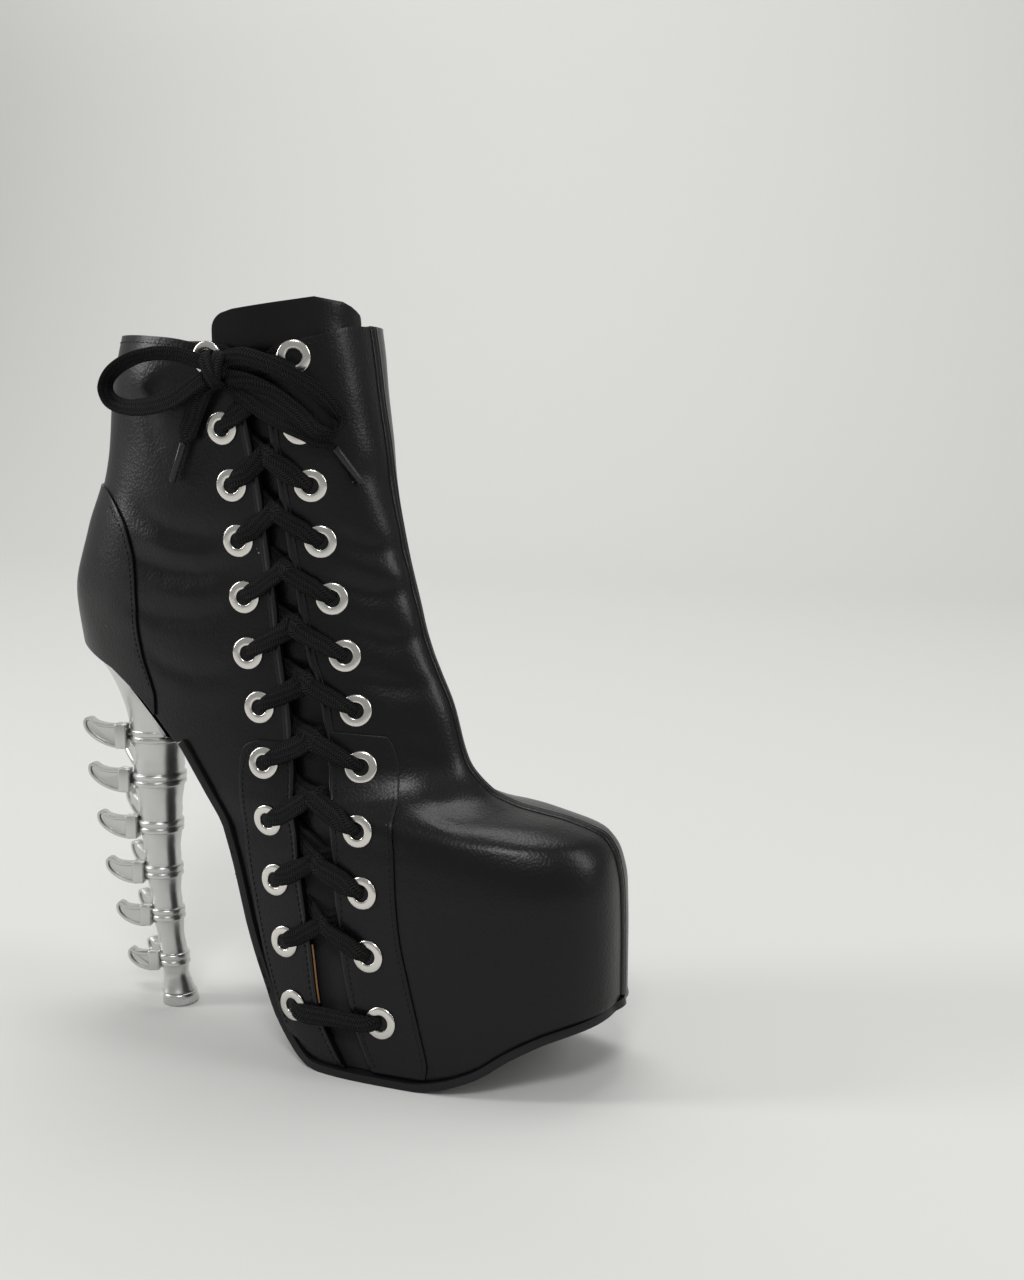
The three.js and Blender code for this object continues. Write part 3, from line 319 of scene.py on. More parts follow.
def new_material(name):
    material = bpy.data.materials.new(name)
    material.use_nodes = True
    nodes, links = material.node_tree.nodes, material.node_tree.links
    return material, nodes, links, nodes["Principled BSDF"]


def group(name, inputs, outputs):
    made = bpy.data.node_groups.new(name, "ShaderNodeTree")
    for label, kind, value in inputs:
        socket = made.interface.new_socket(label, in_out="INPUT", socket_type=kind)
        if value is not None:
            socket.default_value = value
    for label, kind in outputs:
        made.interface.new_socket(label, in_out="OUTPUT", socket_type=kind)
    return made, made.nodes, made.links, made.nodes.new("NodeGroupInput"), made.nodes.new("NodeGroupOutput")


def add(nodes, kind, **settings):
    """A node: in_Name sets the value of an input or joins another node's socket to it."""
    node = nodes.new(kind)
    for key, value in settings.items():
        if key.startswith("in_"):
            label = key[3:].replace("_", " ")
            socket = node.inputs[int(label) if label.isdigit() else label]
            if isinstance(value, bpy.types.NodeSocket):
                node.id_data.links.new(value, socket)
            else:
                socket.default_value = value
        else:
            setattr(node, key, value)
    return node


def grain_group():
    made, nodes, links, source, sink = group(
        "leather_grain",
        [("Vector", "NodeSocketVector", None), ("Pore Scale", "NodeSocketFloat", 900.0),
         ("Wrinkle Scale", "NodeSocketFloat", 160.0)],
        [("Height", "NodeSocketFloat"), ("Shine", "NodeSocketFloat")])
    pores = add(nodes, "ShaderNodeTexVoronoi", feature="SMOOTH_F1", in_Smoothness=0.35,
                in_Vector=source.outputs["Vector"], in_Scale=source.outputs["Pore Scale"])
    wrinkles = add(nodes, "ShaderNodeTexNoise", in_Detail=5.0, in_Roughness=0.62,
                   in_Vector=source.outputs["Vector"], in_Scale=source.outputs["Wrinkle Scale"])
    mix = add(nodes, "ShaderNodeMath", operation="MULTIPLY_ADD", in_1=0.55, in_0=pores.outputs["Distance"],
              in_2=wrinkles.outputs["Fac"])
    links.new(mix.outputs[0], sink.inputs["Height"])
    patches = add(nodes, "ShaderNodeTexNoise", in_Scale=28.0, in_Detail=3.0,
                  in_Vector=source.outputs["Vector"])
    links.new(patches.outputs["Fac"], sink.inputs["Shine"])
    return made


def dust_group():
    made, nodes, links, source, sink = group(
        "dust_specks", [("Vector", "NodeSocketVector", None), ("Amount", "NodeSocketFloat", 0.5)],
        [("Mask", "NodeSocketFloat")])
    specks = add(nodes, "ShaderNodeTexVoronoi", in_Scale=170.0, in_Vector=source.outputs["Vector"])
    near = add(nodes, "ShaderNodeMapRange", in_From_Min=0.07, in_From_Max=0.03,
               in_Value=specks.outputs["Distance"])
    few = add(nodes, "ShaderNodeTexNoise", in_Scale=60.0, in_Detail=2.0, in_Vector=source.outputs["Vector"])
    some = add(nodes, "ShaderNodeMapRange", in_From_Min=0.60, in_From_Max=0.66, in_Value=few.outputs["Fac"])
    both = add(nodes, "ShaderNodeMath", operation="MULTIPLY", in_0=near.outputs["Result"],
               in_1=some.outputs["Result"])
    scaled = add(nodes, "ShaderNodeMath", operation="MULTIPLY", use_clamp=True, in_0=both.outputs[0],
                 in_1=source.outputs["Amount"])
    links.new(scaled.outputs[0], sink.inputs["Mask"])
    return made


def braid_group():
    made, nodes, links, source, sink = group(
        "braid",
        [("Vector", "NodeSocketVector", None), ("Ridge", "NodeSocketFloat", 1.5),
         ("Slant", "NodeSocketFloat", 0.9)],
        [("Height", "NodeSocketFloat"), ("Painted Highlight And Shade", "NodeSocketFloat")])
    split = add(nodes, "ShaderNodeSeparateXYZ", in_0=source.outputs["Vector"])
    folded = add(nodes, "ShaderNodeMath", operation="PINGPONG", in_0=split.outputs["X"],
                 in_1=source.outputs["Ridge"])
    slanted = add(nodes, "ShaderNodeMath", operation="MULTIPLY_ADD", in_0=folded.outputs[0],
                  in_1=source.outputs["Slant"], in_2=split.outputs["Y"])
    wave = add(nodes, "ShaderNodeMath", operation="MULTIPLY", in_1=6.2, in_0=slanted.outputs[0])
    rows = add(nodes, "ShaderNodeMath", operation="SINE", in_0=wave.outputs[0])
    ribs = add(nodes, "ShaderNodeMath", operation="MULTIPLY", in_1=4.2, in_0=split.outputs["X"])
    rib = add(nodes, "ShaderNodeMath", operation="SINE", in_0=ribs.outputs[0])
    fibre = add(nodes, "ShaderNodeTexNoise", in_Scale=6.0, in_Detail=4.0, in_Roughness=0.7,
                in_Vector=source.outputs["Vector"])
    total = add(nodes, "ShaderNodeMath", operation="MULTIPLY_ADD", in_1=0.45, in_0=rib.outputs[0],
                in_2=rows.outputs[0])
    height = add(nodes, "ShaderNodeMath", operation="MULTIPLY_ADD", in_1=0.9, in_0=fibre.outputs["Fac"],
                 in_2=total.outputs[0])
    links.new(height.outputs[0], sink.inputs["Height"])
    # Painted highlight and shade: the braid's height, fibre noise included, mapped from 0 in the grooves to 1 on the
    # ridges. It lightens the lace's colour on the ridges and darkens it in the grooves.
    painted_highlight_and_shade = add(nodes, "ShaderNodeMapRange", in_From_Min=-1.0, in_From_Max=2.0, in_Value=height.outputs[0])
    links.new(painted_highlight_and_shade.outputs["Result"], sink.inputs["Painted Highlight And Shade"])
    return made


def scratch_group():
    made, nodes, links, source, sink = group(
        "fine_scratches",
        [("Vector", "NodeSocketVector", None), ("Base", "NodeSocketFloat", 0.25),
         ("Spread", "NodeSocketFloat", 0.15)],
        [("Roughness", "NodeSocketFloat"), ("Height", "NodeSocketFloat")])
    smear = add(nodes, "ShaderNodeTexNoise", in_Scale=70.0, in_Detail=6.0, in_Roughness=0.7,
                in_Vector=source.outputs["Vector"])
    level_ = add(nodes, "ShaderNodeMath", operation="MULTIPLY_ADD", in_0=smear.outputs["Fac"],
                 in_1=source.outputs["Spread"], in_2=source.outputs["Base"])
    links.new(level_.outputs[0], sink.inputs["Roughness"])
    links.new(smear.outputs["Fac"], sink.inputs["Height"])
    return made


GRAIN, DUST, BRAID, SCRATCHES = grain_group(), dust_group(), braid_group(), scratch_group()


def placed(nodes, tree):
    node = nodes.new("ShaderNodeGroup")
    node.node_tree = tree
    return node


def leather_material(name, colour, dull, roughness, coat, depth, dust):
    material, nodes, links, shader = new_material(name)
    where = add(nodes, "ShaderNodeTexCoord")
    grain, specks = placed(nodes, GRAIN), placed(nodes, DUST)
    for node in (grain, specks):
        links.new(where.outputs["Object"], node.inputs["Vector"])
    specks.inputs["Amount"].default_value = dust
    tone = add(nodes, "ShaderNodeMix", data_type="RGBA", in_A=(*colour, 1), in_B=(*dull, 1),
               in_Factor=grain.outputs["Shine"])
    dusty = add(nodes, "ShaderNodeMix", data_type="RGBA", in_B=(0.30, 0.29, 0.27, 1),
                in_Factor=specks.outputs["Mask"], in_A=tone.outputs["Result"])
    links.new(dusty.outputs["Result"], shader.inputs["Base Color"])
    rough = add(nodes, "ShaderNodeMapRange", in_To_Min=roughness - 0.07, in_To_Max=roughness + 0.09,
                in_Value=grain.outputs["Shine"])
    links.new(rough.outputs["Result"], shader.inputs["Roughness"])
    bump = add(nodes, "ShaderNodeBump", in_Strength=depth, in_Distance=0.0003,
               in_Height=grain.outputs["Height"])
    links.new(bump.outputs["Normal"], shader.inputs["Normal"])
    shader.inputs["Specular IOR Level"].default_value = 0.19
    shader.inputs["Coat Weight"].default_value = coat
    shader.inputs["Coat Roughness"].default_value = 0.26
    return material


def metal_material(name, colour, base, spread, strength):
    material, nodes, links, shader = new_material(name)
    where = add(nodes, "ShaderNodeTexCoord")
    wear = placed(nodes, SCRATCHES)
    links.new(where.outputs["Object"], wear.inputs["Vector"])
    wear.inputs["Base"].default_value = base
    wear.inputs["Spread"].default_value = spread
    links.new(wear.outputs["Roughness"], shader.inputs["Roughness"])
    bump = add(nodes, "ShaderNodeBump", in_Strength=strength, in_Distance=0.0001,
               in_Height=wear.outputs["Height"])
    links.new(bump.outputs["Normal"], shader.inputs["Normal"])
    shader.inputs["Base Color"].default_value = (*colour, 1)
    shader.inputs["Metallic"].default_value = 1
    return material


def lace_material(name, dark, light):
    material, nodes, links, shader = new_material(name)
    where = add(nodes, "ShaderNodeUVMap", uv_map="weave")
    braid = placed(nodes, BRAID)
    links.new(where.outputs["UV"], braid.inputs["Vector"])
    # The lace's colour runs from the dark colour in the braid's grooves to the light colour on its ridges. That is
    # painted shade in the grooves and a painted highlight on the ridges, with some random fibre tone.
    tone = add(nodes, "ShaderNodeMix", data_type="RGBA", in_A=(*dark, 1), in_B=(*light, 1),
               in_Factor=braid.outputs["Painted Highlight And Shade"])
    links.new(tone.outputs["Result"], shader.inputs["Base Color"])
    bump = add(nodes, "ShaderNodeBump", in_Strength=1.0, in_Distance=0.0007,
               in_Height=braid.outputs["Height"])
    links.new(bump.outputs["Normal"], shader.inputs["Normal"])
    shader.inputs["Roughness"].default_value = 0.75
    shader.inputs["Specular IOR Level"].default_value = 0.12
    return material


def plain_material(name, colour, roughness, depth=0.2, scale=900.0):
    material, nodes, links, shader = new_material(name)
    where = add(nodes, "ShaderNodeTexCoord")
    grain = placed(nodes, GRAIN)
    grain.inputs["Pore Scale"].default_value = scale
    links.new(where.outputs["Object"], grain.inputs["Vector"])
    bump = add(nodes, "ShaderNodeBump", in_Strength=depth, in_Distance=0.0002,
               in_Height=grain.outputs["Height"])
    links.new(bump.outputs["Normal"], shader.inputs["Normal"])
    shader.inputs["Base Color"].default_value = (*colour, 1)
    shader.inputs["Roughness"].default_value = roughness
    shader.inputs["Specular IOR Level"].default_value = 0.25
    return material


LEATHER = leather_material("smooth_leather", (0.0018, 0.0019, 0.0022), (0.0040, 0.0040, 0.0045), 0.33, 0.16,
                           0.55, 0.9)
PANEL = leather_material("panel_leather", (0.0022, 0.0023, 0.0027), (0.0045, 0.0046, 0.0052), 0.35, 0.14,
                         0.50, 1.0)
EDGE = leather_material("folded_edge", (0.003, 0.003, 0.0034), (0.006, 0.006, 0.0065), 0.30, 0.25, 0.3, 0.0)
LINING = plain_material("lining", (0.012, 0.012, 0.013), 0.8, 0.4)
RAW_EDGE = plain_material("raw_edge", (0.32, 0.17, 0.075), 0.7)
RUBBER = plain_material("sole_rubber", (0.008, 0.008, 0.009), 0.34, 0.12, 500.0)
THREAD = plain_material("thread", (0.006, 0.006, 0.007), 0.5, 0.3, 2500.0)
HEEL_METAL = metal_material("satin_silver", (0.60, 0.60, 0.59), 0.22, 0.16, 0.25)
NICKEL = metal_material("nickel", (0.72, 0.70, 0.66), 0.12, 0.14, 0.12)
# The lace's second colour, lighter than the black cotton, is a painted highlight on the braid's ridges.
LACE_CLOTH = lace_material("braided_cotton", (0.0015, 0.0015, 0.0016), (0.030, 0.030, 0.0305))
AGLET = plain_material("aglet", (0.02, 0.02, 0.022), 0.16, 0.05)
ZIP_CLOTH = plain_material("zip_tape", (0.008, 0.008, 0.009), 0.75, 0.6, 1800.0)
COIL = plain_material("zip_coil", (0.010, 0.010, 0.011), 0.35, 0.1)


# Making pieces

def finished(bm, name, material, nodes=(), body="boot", smooth=True, modifiers=()):
    mesh = bpy.data.meshes.new(name)
    bm.to_mesh(mesh)
    bm.free()
    if smooth:
        mesh.shade_smooth()
    for one in material if isinstance(material, (list, tuple)) else [material]:
        mesh.materials.append(one)
    piece = bpy.data.objects.new(name, mesh)
    bpy.context.scene.collection.objects.link(piece)
    for kind, settings in modifiers:
        modifier = piece.modifiers.new(kind.lower(), kind)
        for key, value in settings.items():
            setattr(modifier, key, value)
    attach(piece, body)
    if nodes:
        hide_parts(*nodes)
    return piece


def thick(amount, offset=-1.0):
    return ("SOLIDIFY", {"thickness": amount, "offset": offset, "use_even_offset": False})


def soft_edge(width, segments=2, angle=50):
    return ("BEVEL",
            {"width": width, "segments": segments, "limit_method": "ANGLE",
             "angle_limit": math.radians(angle)})


def face_towards(bm, axis, sign):
    """Turn the faces of a sheet so that most look along an axis or against it."""
    bmesh.ops.recalc_face_normals(bm, faces=bm.faces)
    if sum(getattr(f.normal, axis) for f in bm.faces) * sign < 0:
        bmesh.ops.reverse_faces(bm, faces=bm.faces)


def laid_grid(bm, columns, rows, place):
    """A grid whose vertices place(s, t) puts at points, s and t from 0 to 1."""
    made = bmesh.ops.create_grid(bm, x_segments=columns, y_segments=rows, size=1)["verts"]
    s = np.array([(v.co.x + 1) / 2 for v in made])
    t = np.array([(v.co.y + 1) / 2 for v in made])
    for v, point in zip(made, place(unit(s), unit(t))):
        v.co = point
    return made


def coons(bottom, top, left, right, columns, rows, side=0):
    """Places of a patch between four edges of turn and height: in turn and height too, or in a side's x and height."""
    b, t_, l, r = resampled(bottom, columns), resampled(top, columns), resampled(left, rows), resampled(right,
            rows)
    if side:
        b, t_, l, r = [np.stack([last_point(*edge.T)[:, 0], edge[:, 1]], -1) for edge in (b, t_, l, r)]

    fade = 3 if side else 1

    def at(s, t):
        i, j = np.rint(s * columns).astype(int), np.rint(t * rows).astype(int)
        s, t = s[:, None], t[:, None]
        left_bend = l[j] - (1 - t) * l[0] - t * l[-1]
        right_bend = r[j] - (1 - t) * r[0] - t * r[-1]
        return (1 - t) * b[i] + t * t_[i] + (1 - s) ** fade * left_bend + s ** fade * right_bend
    return at


def sole_edge(x):
    ahead = (np.asarray(x) - BREAST + 3 * MM) / (5 * MM)
    drop = unit((np.asarray(x) + 136 * MM) / (14 * MM)) * (1 - unit(ahead))
    return sole_at(x) + GAP + OUTSOLE * smooth(ahead) - 3.4 * MM * drop


def collar_edge(x, side):
    if side > 0:
        return np.interp(x / LENGTH, [-0.6, -0.1], [0.282, 0.284])
    return eased([-0.62, -0.5, -0.40, -0.31, -0.20, -0.15, -0.10, 0.0],
                 [0.2822, 0.2812, 0.2792, 0.2760, 0.2765, 0.2795, 0.284, 0.284],
                 np.asarray(x) / LENGTH)


def profile_end(edge, front):
    x = (0.31 if front else -0.62) * LENGTH
    for _ in range(30):
        x = float(level(edge(np.array(x)))[1 if front else 0])
    return x


def edge_curve(edge, start, end, side, whole):
    """A boundary of turn and height along the foot from x start to x end."""
    share = 0.5 - 0.5 * np.cos(np.linspace(0, np.pi, 400))
    x = start + (end - start) * share
    z = edge(x)
    turn = turn_at(x, z, side)
    if whole:
        turn = np.mod(turn, 2 * np.pi)
    return np.stack([turn, z], -1)


toe_x, seat_x = profile_end(sole_edge, True), profile_end(sole_edge, False)
throat_x, nape_x = profile_end(lambda x: collar_edge(x, 1), True), profile_end(lambda x: collar_edge(x, 1),
        False)


def facing_x(z, sign):
    middle, gap, _ = lacing_at(z)
    radius = (5 if sign < 0 else 9) * MM
    over = unit((z - (FACING_TOP - radius)) / radius)
    return middle + sign * (gap + radius * (1 - np.sqrt(np.maximum(1 - over**2, 0))))


def inner_middle_curve():
    """A line up the inner side, over the ball, where the front patch ends and the side patch starts."""
    low, high = 0.0035, 0.28
    for _ in range(20):
        low = float(sole_edge(lacing_at(low)[0]))
        high = float(collar_edge(lacing_at(0.27)[0], 1))
    z = np.linspace(low, high, 400)
    return lacing_at(np.minimum(z, 0.27))[0], z


def facing_curve(sign):
    low, high = 0.0035, FACING_TOP
    for _ in range(20):
        low = float(sole_edge(np.array(float(facing_x(np.array(low), sign)))))
        high = float(collar_edge(np.array(float(facing_x(np.array(high), sign))), -1))
    z = np.linspace(low, high, 400)
    return facing_x(z, sign), z


ZIP_FOOT = 0.1315


def zip_curve(sign):
    low, high = 0.12, 0.2825
    for _ in range(20):
        low = float(sole_edge(zip_at(low)))
    z = np.linspace(low, high, 400)
    open_ = unit((z - ZIP_FOOT) / (6 * MM))
    return zip_at(z) + sign * ZIP_OPENING / 2 * np.sqrt(open_ * (2 - open_)), z


def profile(edge_low, edge_high, front):
    z = np.linspace(edge_low, edge_high, 900)
    return np.stack([np.full(len(z), 0.0 if front else np.pi), z], -1)


def laid_on_side(at, t, side):
    """Points of a patch in the side view, none of them under the edge of the sole."""
    x, z = at.T
    return on_side(x, np.maximum(z, sole_edge(np.maximum(x, seat_x)) + t * MM), side)[0]


def make_upper():
    bm = bmesh.new()
    front = profile(float(sole_edge(toe_x)), float(collar_edge(throat_x, 1)), True)
    back = profile(float(sole_edge(seat_x)), float(collar_edge(nape_x, 1)), False)
    rows = 140
    fx, fz = facing_curve(1)
    bx, bz = facing_curve(-1)
    zx, zz = zip_curve(1)
    hx, hz = zip_curve(-1)
    outer = lambda x: collar_edge(x, -1)
    inner = lambda x: collar_edge(x, 1)
    face_front = np.stack([turn_at(fx, fz, -1), fz], -1)
    face_back = np.stack([np.mod(turn_at(bx, bz, -1), 2 * np.pi), bz], -1)
    zip_front = np.stack([turn_at(zx, zz, 1), zz], -1)
    zip_back = np.stack([turn_at(hx, hz, 1), hz], -1)
    mx, mz = inner_middle_curve()
    inner_middle = np.stack([turn_at(mx, mz, 1), mz], -1)
    patches = [
        (edge_curve(sole_edge, fx[0], toe_x, -1, False), edge_curve(outer, fx[-1], throat_x, -1, False),
         face_front, front, 56, 0),
        (edge_curve(sole_edge, toe_x, mx[0], 1, False), edge_curve(inner, throat_x, mx[-1], 1, False), front,
         inner_middle, 54, 0),
        (edge_curve(sole_edge, mx[0], zx[0], 1, False), edge_curve(inner, mx[-1], zx[-1], 1, False),
         inner_middle, zip_front, 50, 1),
        (edge_curve(sole_edge, hx[0], seat_x, 1, False), edge_curve(inner, hx[-1], nape_x, 1, False),
         zip_back, back, 34, 1),
        (edge_curve(sole_edge, seat_x, bx[0], -1, True), edge_curve(outer, nape_x, bx[-1], -1, True), back,
         face_back, 84, -1),
    ]
    for bottom, top, left, right, columns, side in patches:
        bottom[0], bottom[-1], top[0], top[-1] = left[0], right[0], left[-1], right[-1]
        at = coons(bottom, top, left, right, columns, rows, side)
        laid_grid(bm, columns, rows, lambda s,
                  t: laid_on_side(at(s, t), t, side) if side else skin(*at(s, t).T)[0])
    bmesh.ops.remove_doubles(bm, verts=bm.verts, dist=0.02 * MM)
    shoulders = [v for v in bm.verts if abs(v.co.x - 4 * MM) < 11 * MM and abs(v.co.z - 101 * MM) < 9 * MM and abs(v.co.y) > 18 * MM]
    for _ in range(8):
        bmesh.ops.smooth_vert(bm, verts=shoulders, factor=0.5, use_axis_x=True, use_axis_y=True,
                              use_axis_z=True)
    return finished(bm, "upper_shell", [LEATHER, LINING], ["upper"], modifiers=[
        ("SOLIDIFY",
         {"thickness": WALL, "offset": -1.0, "use_even_offset": False, "thickness_clamp": 0.0,
          "material_offset": 1,
                      "material_offset_rim": 0}), soft_edge(0.5 * MM)])


def make_outsole():
    bm = bmesh.new()
    end = profile_end(sole_at, True)

    def place(s, t):
        x = BREAST + (end + SOLE_LIP - BREAST) * np.sin(s * np.pi / 2)
        inside = np.minimum(x, end - 0.05 * MM)
        z = sole_at(x)
        low, high = [last_point(turn_at(inside, sole_at(inside), side), sole_at(inside))[:,
                1] for side in (-1, 1)]
        share = np.sqrt(np.clip((end + SOLE_LIP - x) / (2.2 * MM), 0.0004, 1))
        middle, half = (low + high) / 2, (high - low) / 2 + SOLE_LIP
        half = np.where(x > end - 0.3 * MM, half * share, half)
        return np.stack([x, middle + half * (2 * t - 1), z], -1)
    laid_grid(bm, 150, 28, place)
    bmesh.ops.recalc_face_normals(bm, faces=bm.faces)
    up = sum(f.normal.z for f in bm.faces) > 0
    return finished(bm, "outsole_rubber", RUBBER, ["outsole"], modifiers=[
        thick(OUTSOLE, 1.0 if up else -1.0), soft_edge(0.6 * MM, 3)])


# Camera, floor and light

def look():
    turn, pitch = math.radians(22), math.atan2(200, 1400)
    right = Vector((math.cos(turn), math.sin(turn), 0))
    level_ahead = Vector((-math.sin(turn), math.cos(turn), 0))
    ahead = level_ahead * math.cos(pitch) - Vector((0, 0, 1)) * math.sin(pitch)
    up = right.cross(ahead)
    camera_data = bpy.data.cameras.new("camera")
    camera_data.sensor_width = 36
    camera_data.lens = 36 * 1400 / 1280
    camera_data.clip_start = 0.01
    camera = bpy.data.objects.new("camera", camera_data)
    bpy.context.scene.collection.objects.link(camera)
    camera.matrix_world = Matrix.Translation((0.226826, -0.484203, 0.241)) @ Matrix(
        (right, up, -ahead)).transposed().to_4x4()
    bpy.context.scene.camera = camera


def make_floor():
    material, _, _, shader = new_material("studio_sweep")
    shader.inputs["Base Color"].default_value = (0.60, 0.60, 0.585, 1)
    shader.inputs["Roughness"].default_value = 0.85
    bm = bmesh.new()
    bmesh.ops.create_grid(bm, x_segments=2, y_segments=2, size=1)
    bmesh.ops.scale(bm, vec=(3.2, 3.2, 1), verts=bm.verts)
    far = [e for e in bm.edges if all(v.co.y > 3.1 for v in e.verts)]
    bent = bmesh.ops.extrude_edge_only(bm, edges=far)["geom"]
    bmesh.ops.translate(bm, vec=(0, 0, 3.2), verts=[v for v in bent if isinstance(v, bmesh.types.BMVert)])
    bend = [e for e in bm.edges if all(v.co.y > 3.1 and abs(v.co.z) < 1e-6 for v in e.verts)]
    bmesh.ops.bevel(bm, geom=bend, offset=1.4, segments=16, profile=0.5, affect="EDGES", material=-1)
    mesh = bpy.data.meshes.new("floor")
    bm.to_mesh(mesh)
    bm.free()
    mesh.shade_smooth()
    mesh.materials.append(material)
    floor = bpy.data.objects.new("floor", mesh)
    bpy.context.scene.collection.objects.link(floor)


def softbox(name, place, target, size, power, colour=(1, 1, 1)):
    data = bpy.data.lights.new(name, "AREA")
    data.shape, data.size, data.size_y = "RECTANGLE", *size
    data.energy, data.color = power, colour
    lamp = bpy.data.objects.new(name, data)
    bpy.context.scene.collection.objects.link(lamp)
    lamp.location = place
    lamp.rotation_euler = (Vector(target) - Vector(place)).to_track_quat("-Z", "Y").to_euler()


def light():
    world = bpy.data.worlds.new("studio")
    world.use_nodes = True
    world.node_tree.nodes["Background"].inputs["Color"].default_value = (1.0, 1.0, 0.985, 1)
    world.node_tree.nodes["Background"].inputs["Strength"].default_value = 0.34
    bpy.context.scene.world = world
    softbox("key", (0.45, -1.2, 1.55), (0, 0, 0.1), (0.5, 0.35), 12)
    softbox("left_strip", (-1.5, -0.6, 0.9), (-0.03, 0, 0.15), (0.3, 1.2), 13)
    softbox("right_fill", (1.5, 0.1, 1.0), (0.02, 0, 0.1), (0.4, 1.0), 8)
    softbox("top", (-0.1, 0.3, 1.9), (0, 0, 0.1), (0.8, 0.6), 9)
    softbox("sweep_light", (-1.4, 1.2, 2.6), (-1.4, 3.0, 1.0), (3.6, 0.8), 60)
    bpy.context.scene.view_settings.view_transform = "Standard"
    bpy.context.scene.view_settings.look = "None"


look()
make_floor()
light()


def in_panel(z):
    return OVERLAY if z < PANEL_TOP else 0.0


EYELETS = {}
for row, (share, middle_, gap_, spread_) in enumerate(LACING[:-1]):
    for sign in (-1, 1):
        x, z = (middle_ + sign * spread_) * LENGTH, share * COLLAR
        point, normal = on_side(x, z, -1, in_panel(z))
        EYELETS[row, sign] = (x, z, Vector(point[0]), Vector(normal[0]))


def make_eyelet(row, sign):
    _, _, point, normal = EYELETS[row, sign]
    bm = bmesh.new()
    profile_mm = [(3.0, -1.6), (3.0, 0.45), (3.1, 0.75), (3.4, 0.92), (3.9, 0.96), (5.2, 0.86), (5.8, 0.76),
                  (6.15, 0.55), (6.3, 0.2),
                  (6.1, 0.1), (3.7, 0.15), (3.65, -1.6)]
    ring = [bm.verts.new((r * MM, 0, h * MM)) for r, h in profile_mm]
    edges = [bm.edges.new((a, b)) for a, b in zip(ring, ring[1:] + ring[:1])]
    bmesh.ops.spin(bm, geom=ring + edges, cent=(0, 0, 0), axis=(0, 0, 1), steps=32, angle=2 * math.pi,
                   use_merge=True)
    bmesh.ops.remove_doubles(bm, verts=bm.verts, dist=1e-6)
    bmesh.ops.recalc_face_normals(bm, faces=bm.faces)
    turn = normal.to_track_quat("Z", "Y").to_matrix().to_4x4()
    bmesh.ops.transform(bm, matrix=Matrix.Translation(point) @ turn, verts=bm.verts)
    name = f"eyelet_{'back' if sign < 0 else 'front'}_{row + 1:02d}"
    return finished(bm, name + "_ring", NICKEL, [name])


def band(bm, points, normals, widths, heights, twists=None, sides=14, power=2.6):
    """A closed flat band of lace along points, with its weave laid in millimetres round and along it."""
    points, normals = np.asarray(points), np.asarray(normals)
    along = np.gradient(points, axis=0)
    along /= np.linalg.norm(along, axis=1)[:, None]
    across = np.cross(along, normals)
    across /= np.linalg.norm(across, axis=1)[:, None]
    out = np.cross(across, along)
    if twists is not None:
        c, s = np.cos(twists)[:, None], np.sin(twists)[:, None]
        across, out = across * c + out * s, out * c - across * s
    far = np.concatenate([[0], np.cumsum(np.linalg.norm(np.diff(points, axis=0), axis=1))])
    rows = len(points) - 1
    weave = bm.loops.layers.uv.get("weave") or bm.loops.layers.uv.new("weave")
    shares = []

    def place(s, t):
        i = np.rint(t * rows).astype(int)
        shares.extend(zip(s, far[i], widths[i]))
        angle = 2 * np.pi * s
        c, n = np.cos(angle), np.sin(angle)
        size = (np.abs(c) ** power + np.abs(n) ** power) ** (-1 / power)
        return (points[i] + across[i] * (size * c * widths[i] / 2)[:,
                None] + out[i] * (size * n * heights[i] / 2)[:, None])
    made = laid_grid(bm, sides, rows, place)
    share_of = {v: share for v, share in zip(made, shares)}
    for face in {f for v in made for f in v.link_faces}:
        for loop in face.loops:
            s, y, width = share_of[loop.vert]
            loop[weave].uv = (2 * width / MM * s, y / MM)
    return made


def close_ends(bm, dist=0.01 * MM):
    bmesh.ops.remove_doubles(bm, verts=bm.verts, dist=dist)
    rims = [e for e in bm.edges if e.is_boundary]
    if rims:
        bmesh.ops.holes_fill(bm, edges=rims, sides=0)
    bmesh.ops.recalc_face_normals(bm, faces=bm.faces)


def surface_route(route, count, side=-1):
    """Points and normals along a route of x, z and lift in millimetres."""
    line = even(smooth_line(route), count)
    centre, normal = on_side(line[:, 0] * MM, line[:, 1] * MM, side)
    return centre + normal * (line[:, 2] * MM)[:, None], normal, line


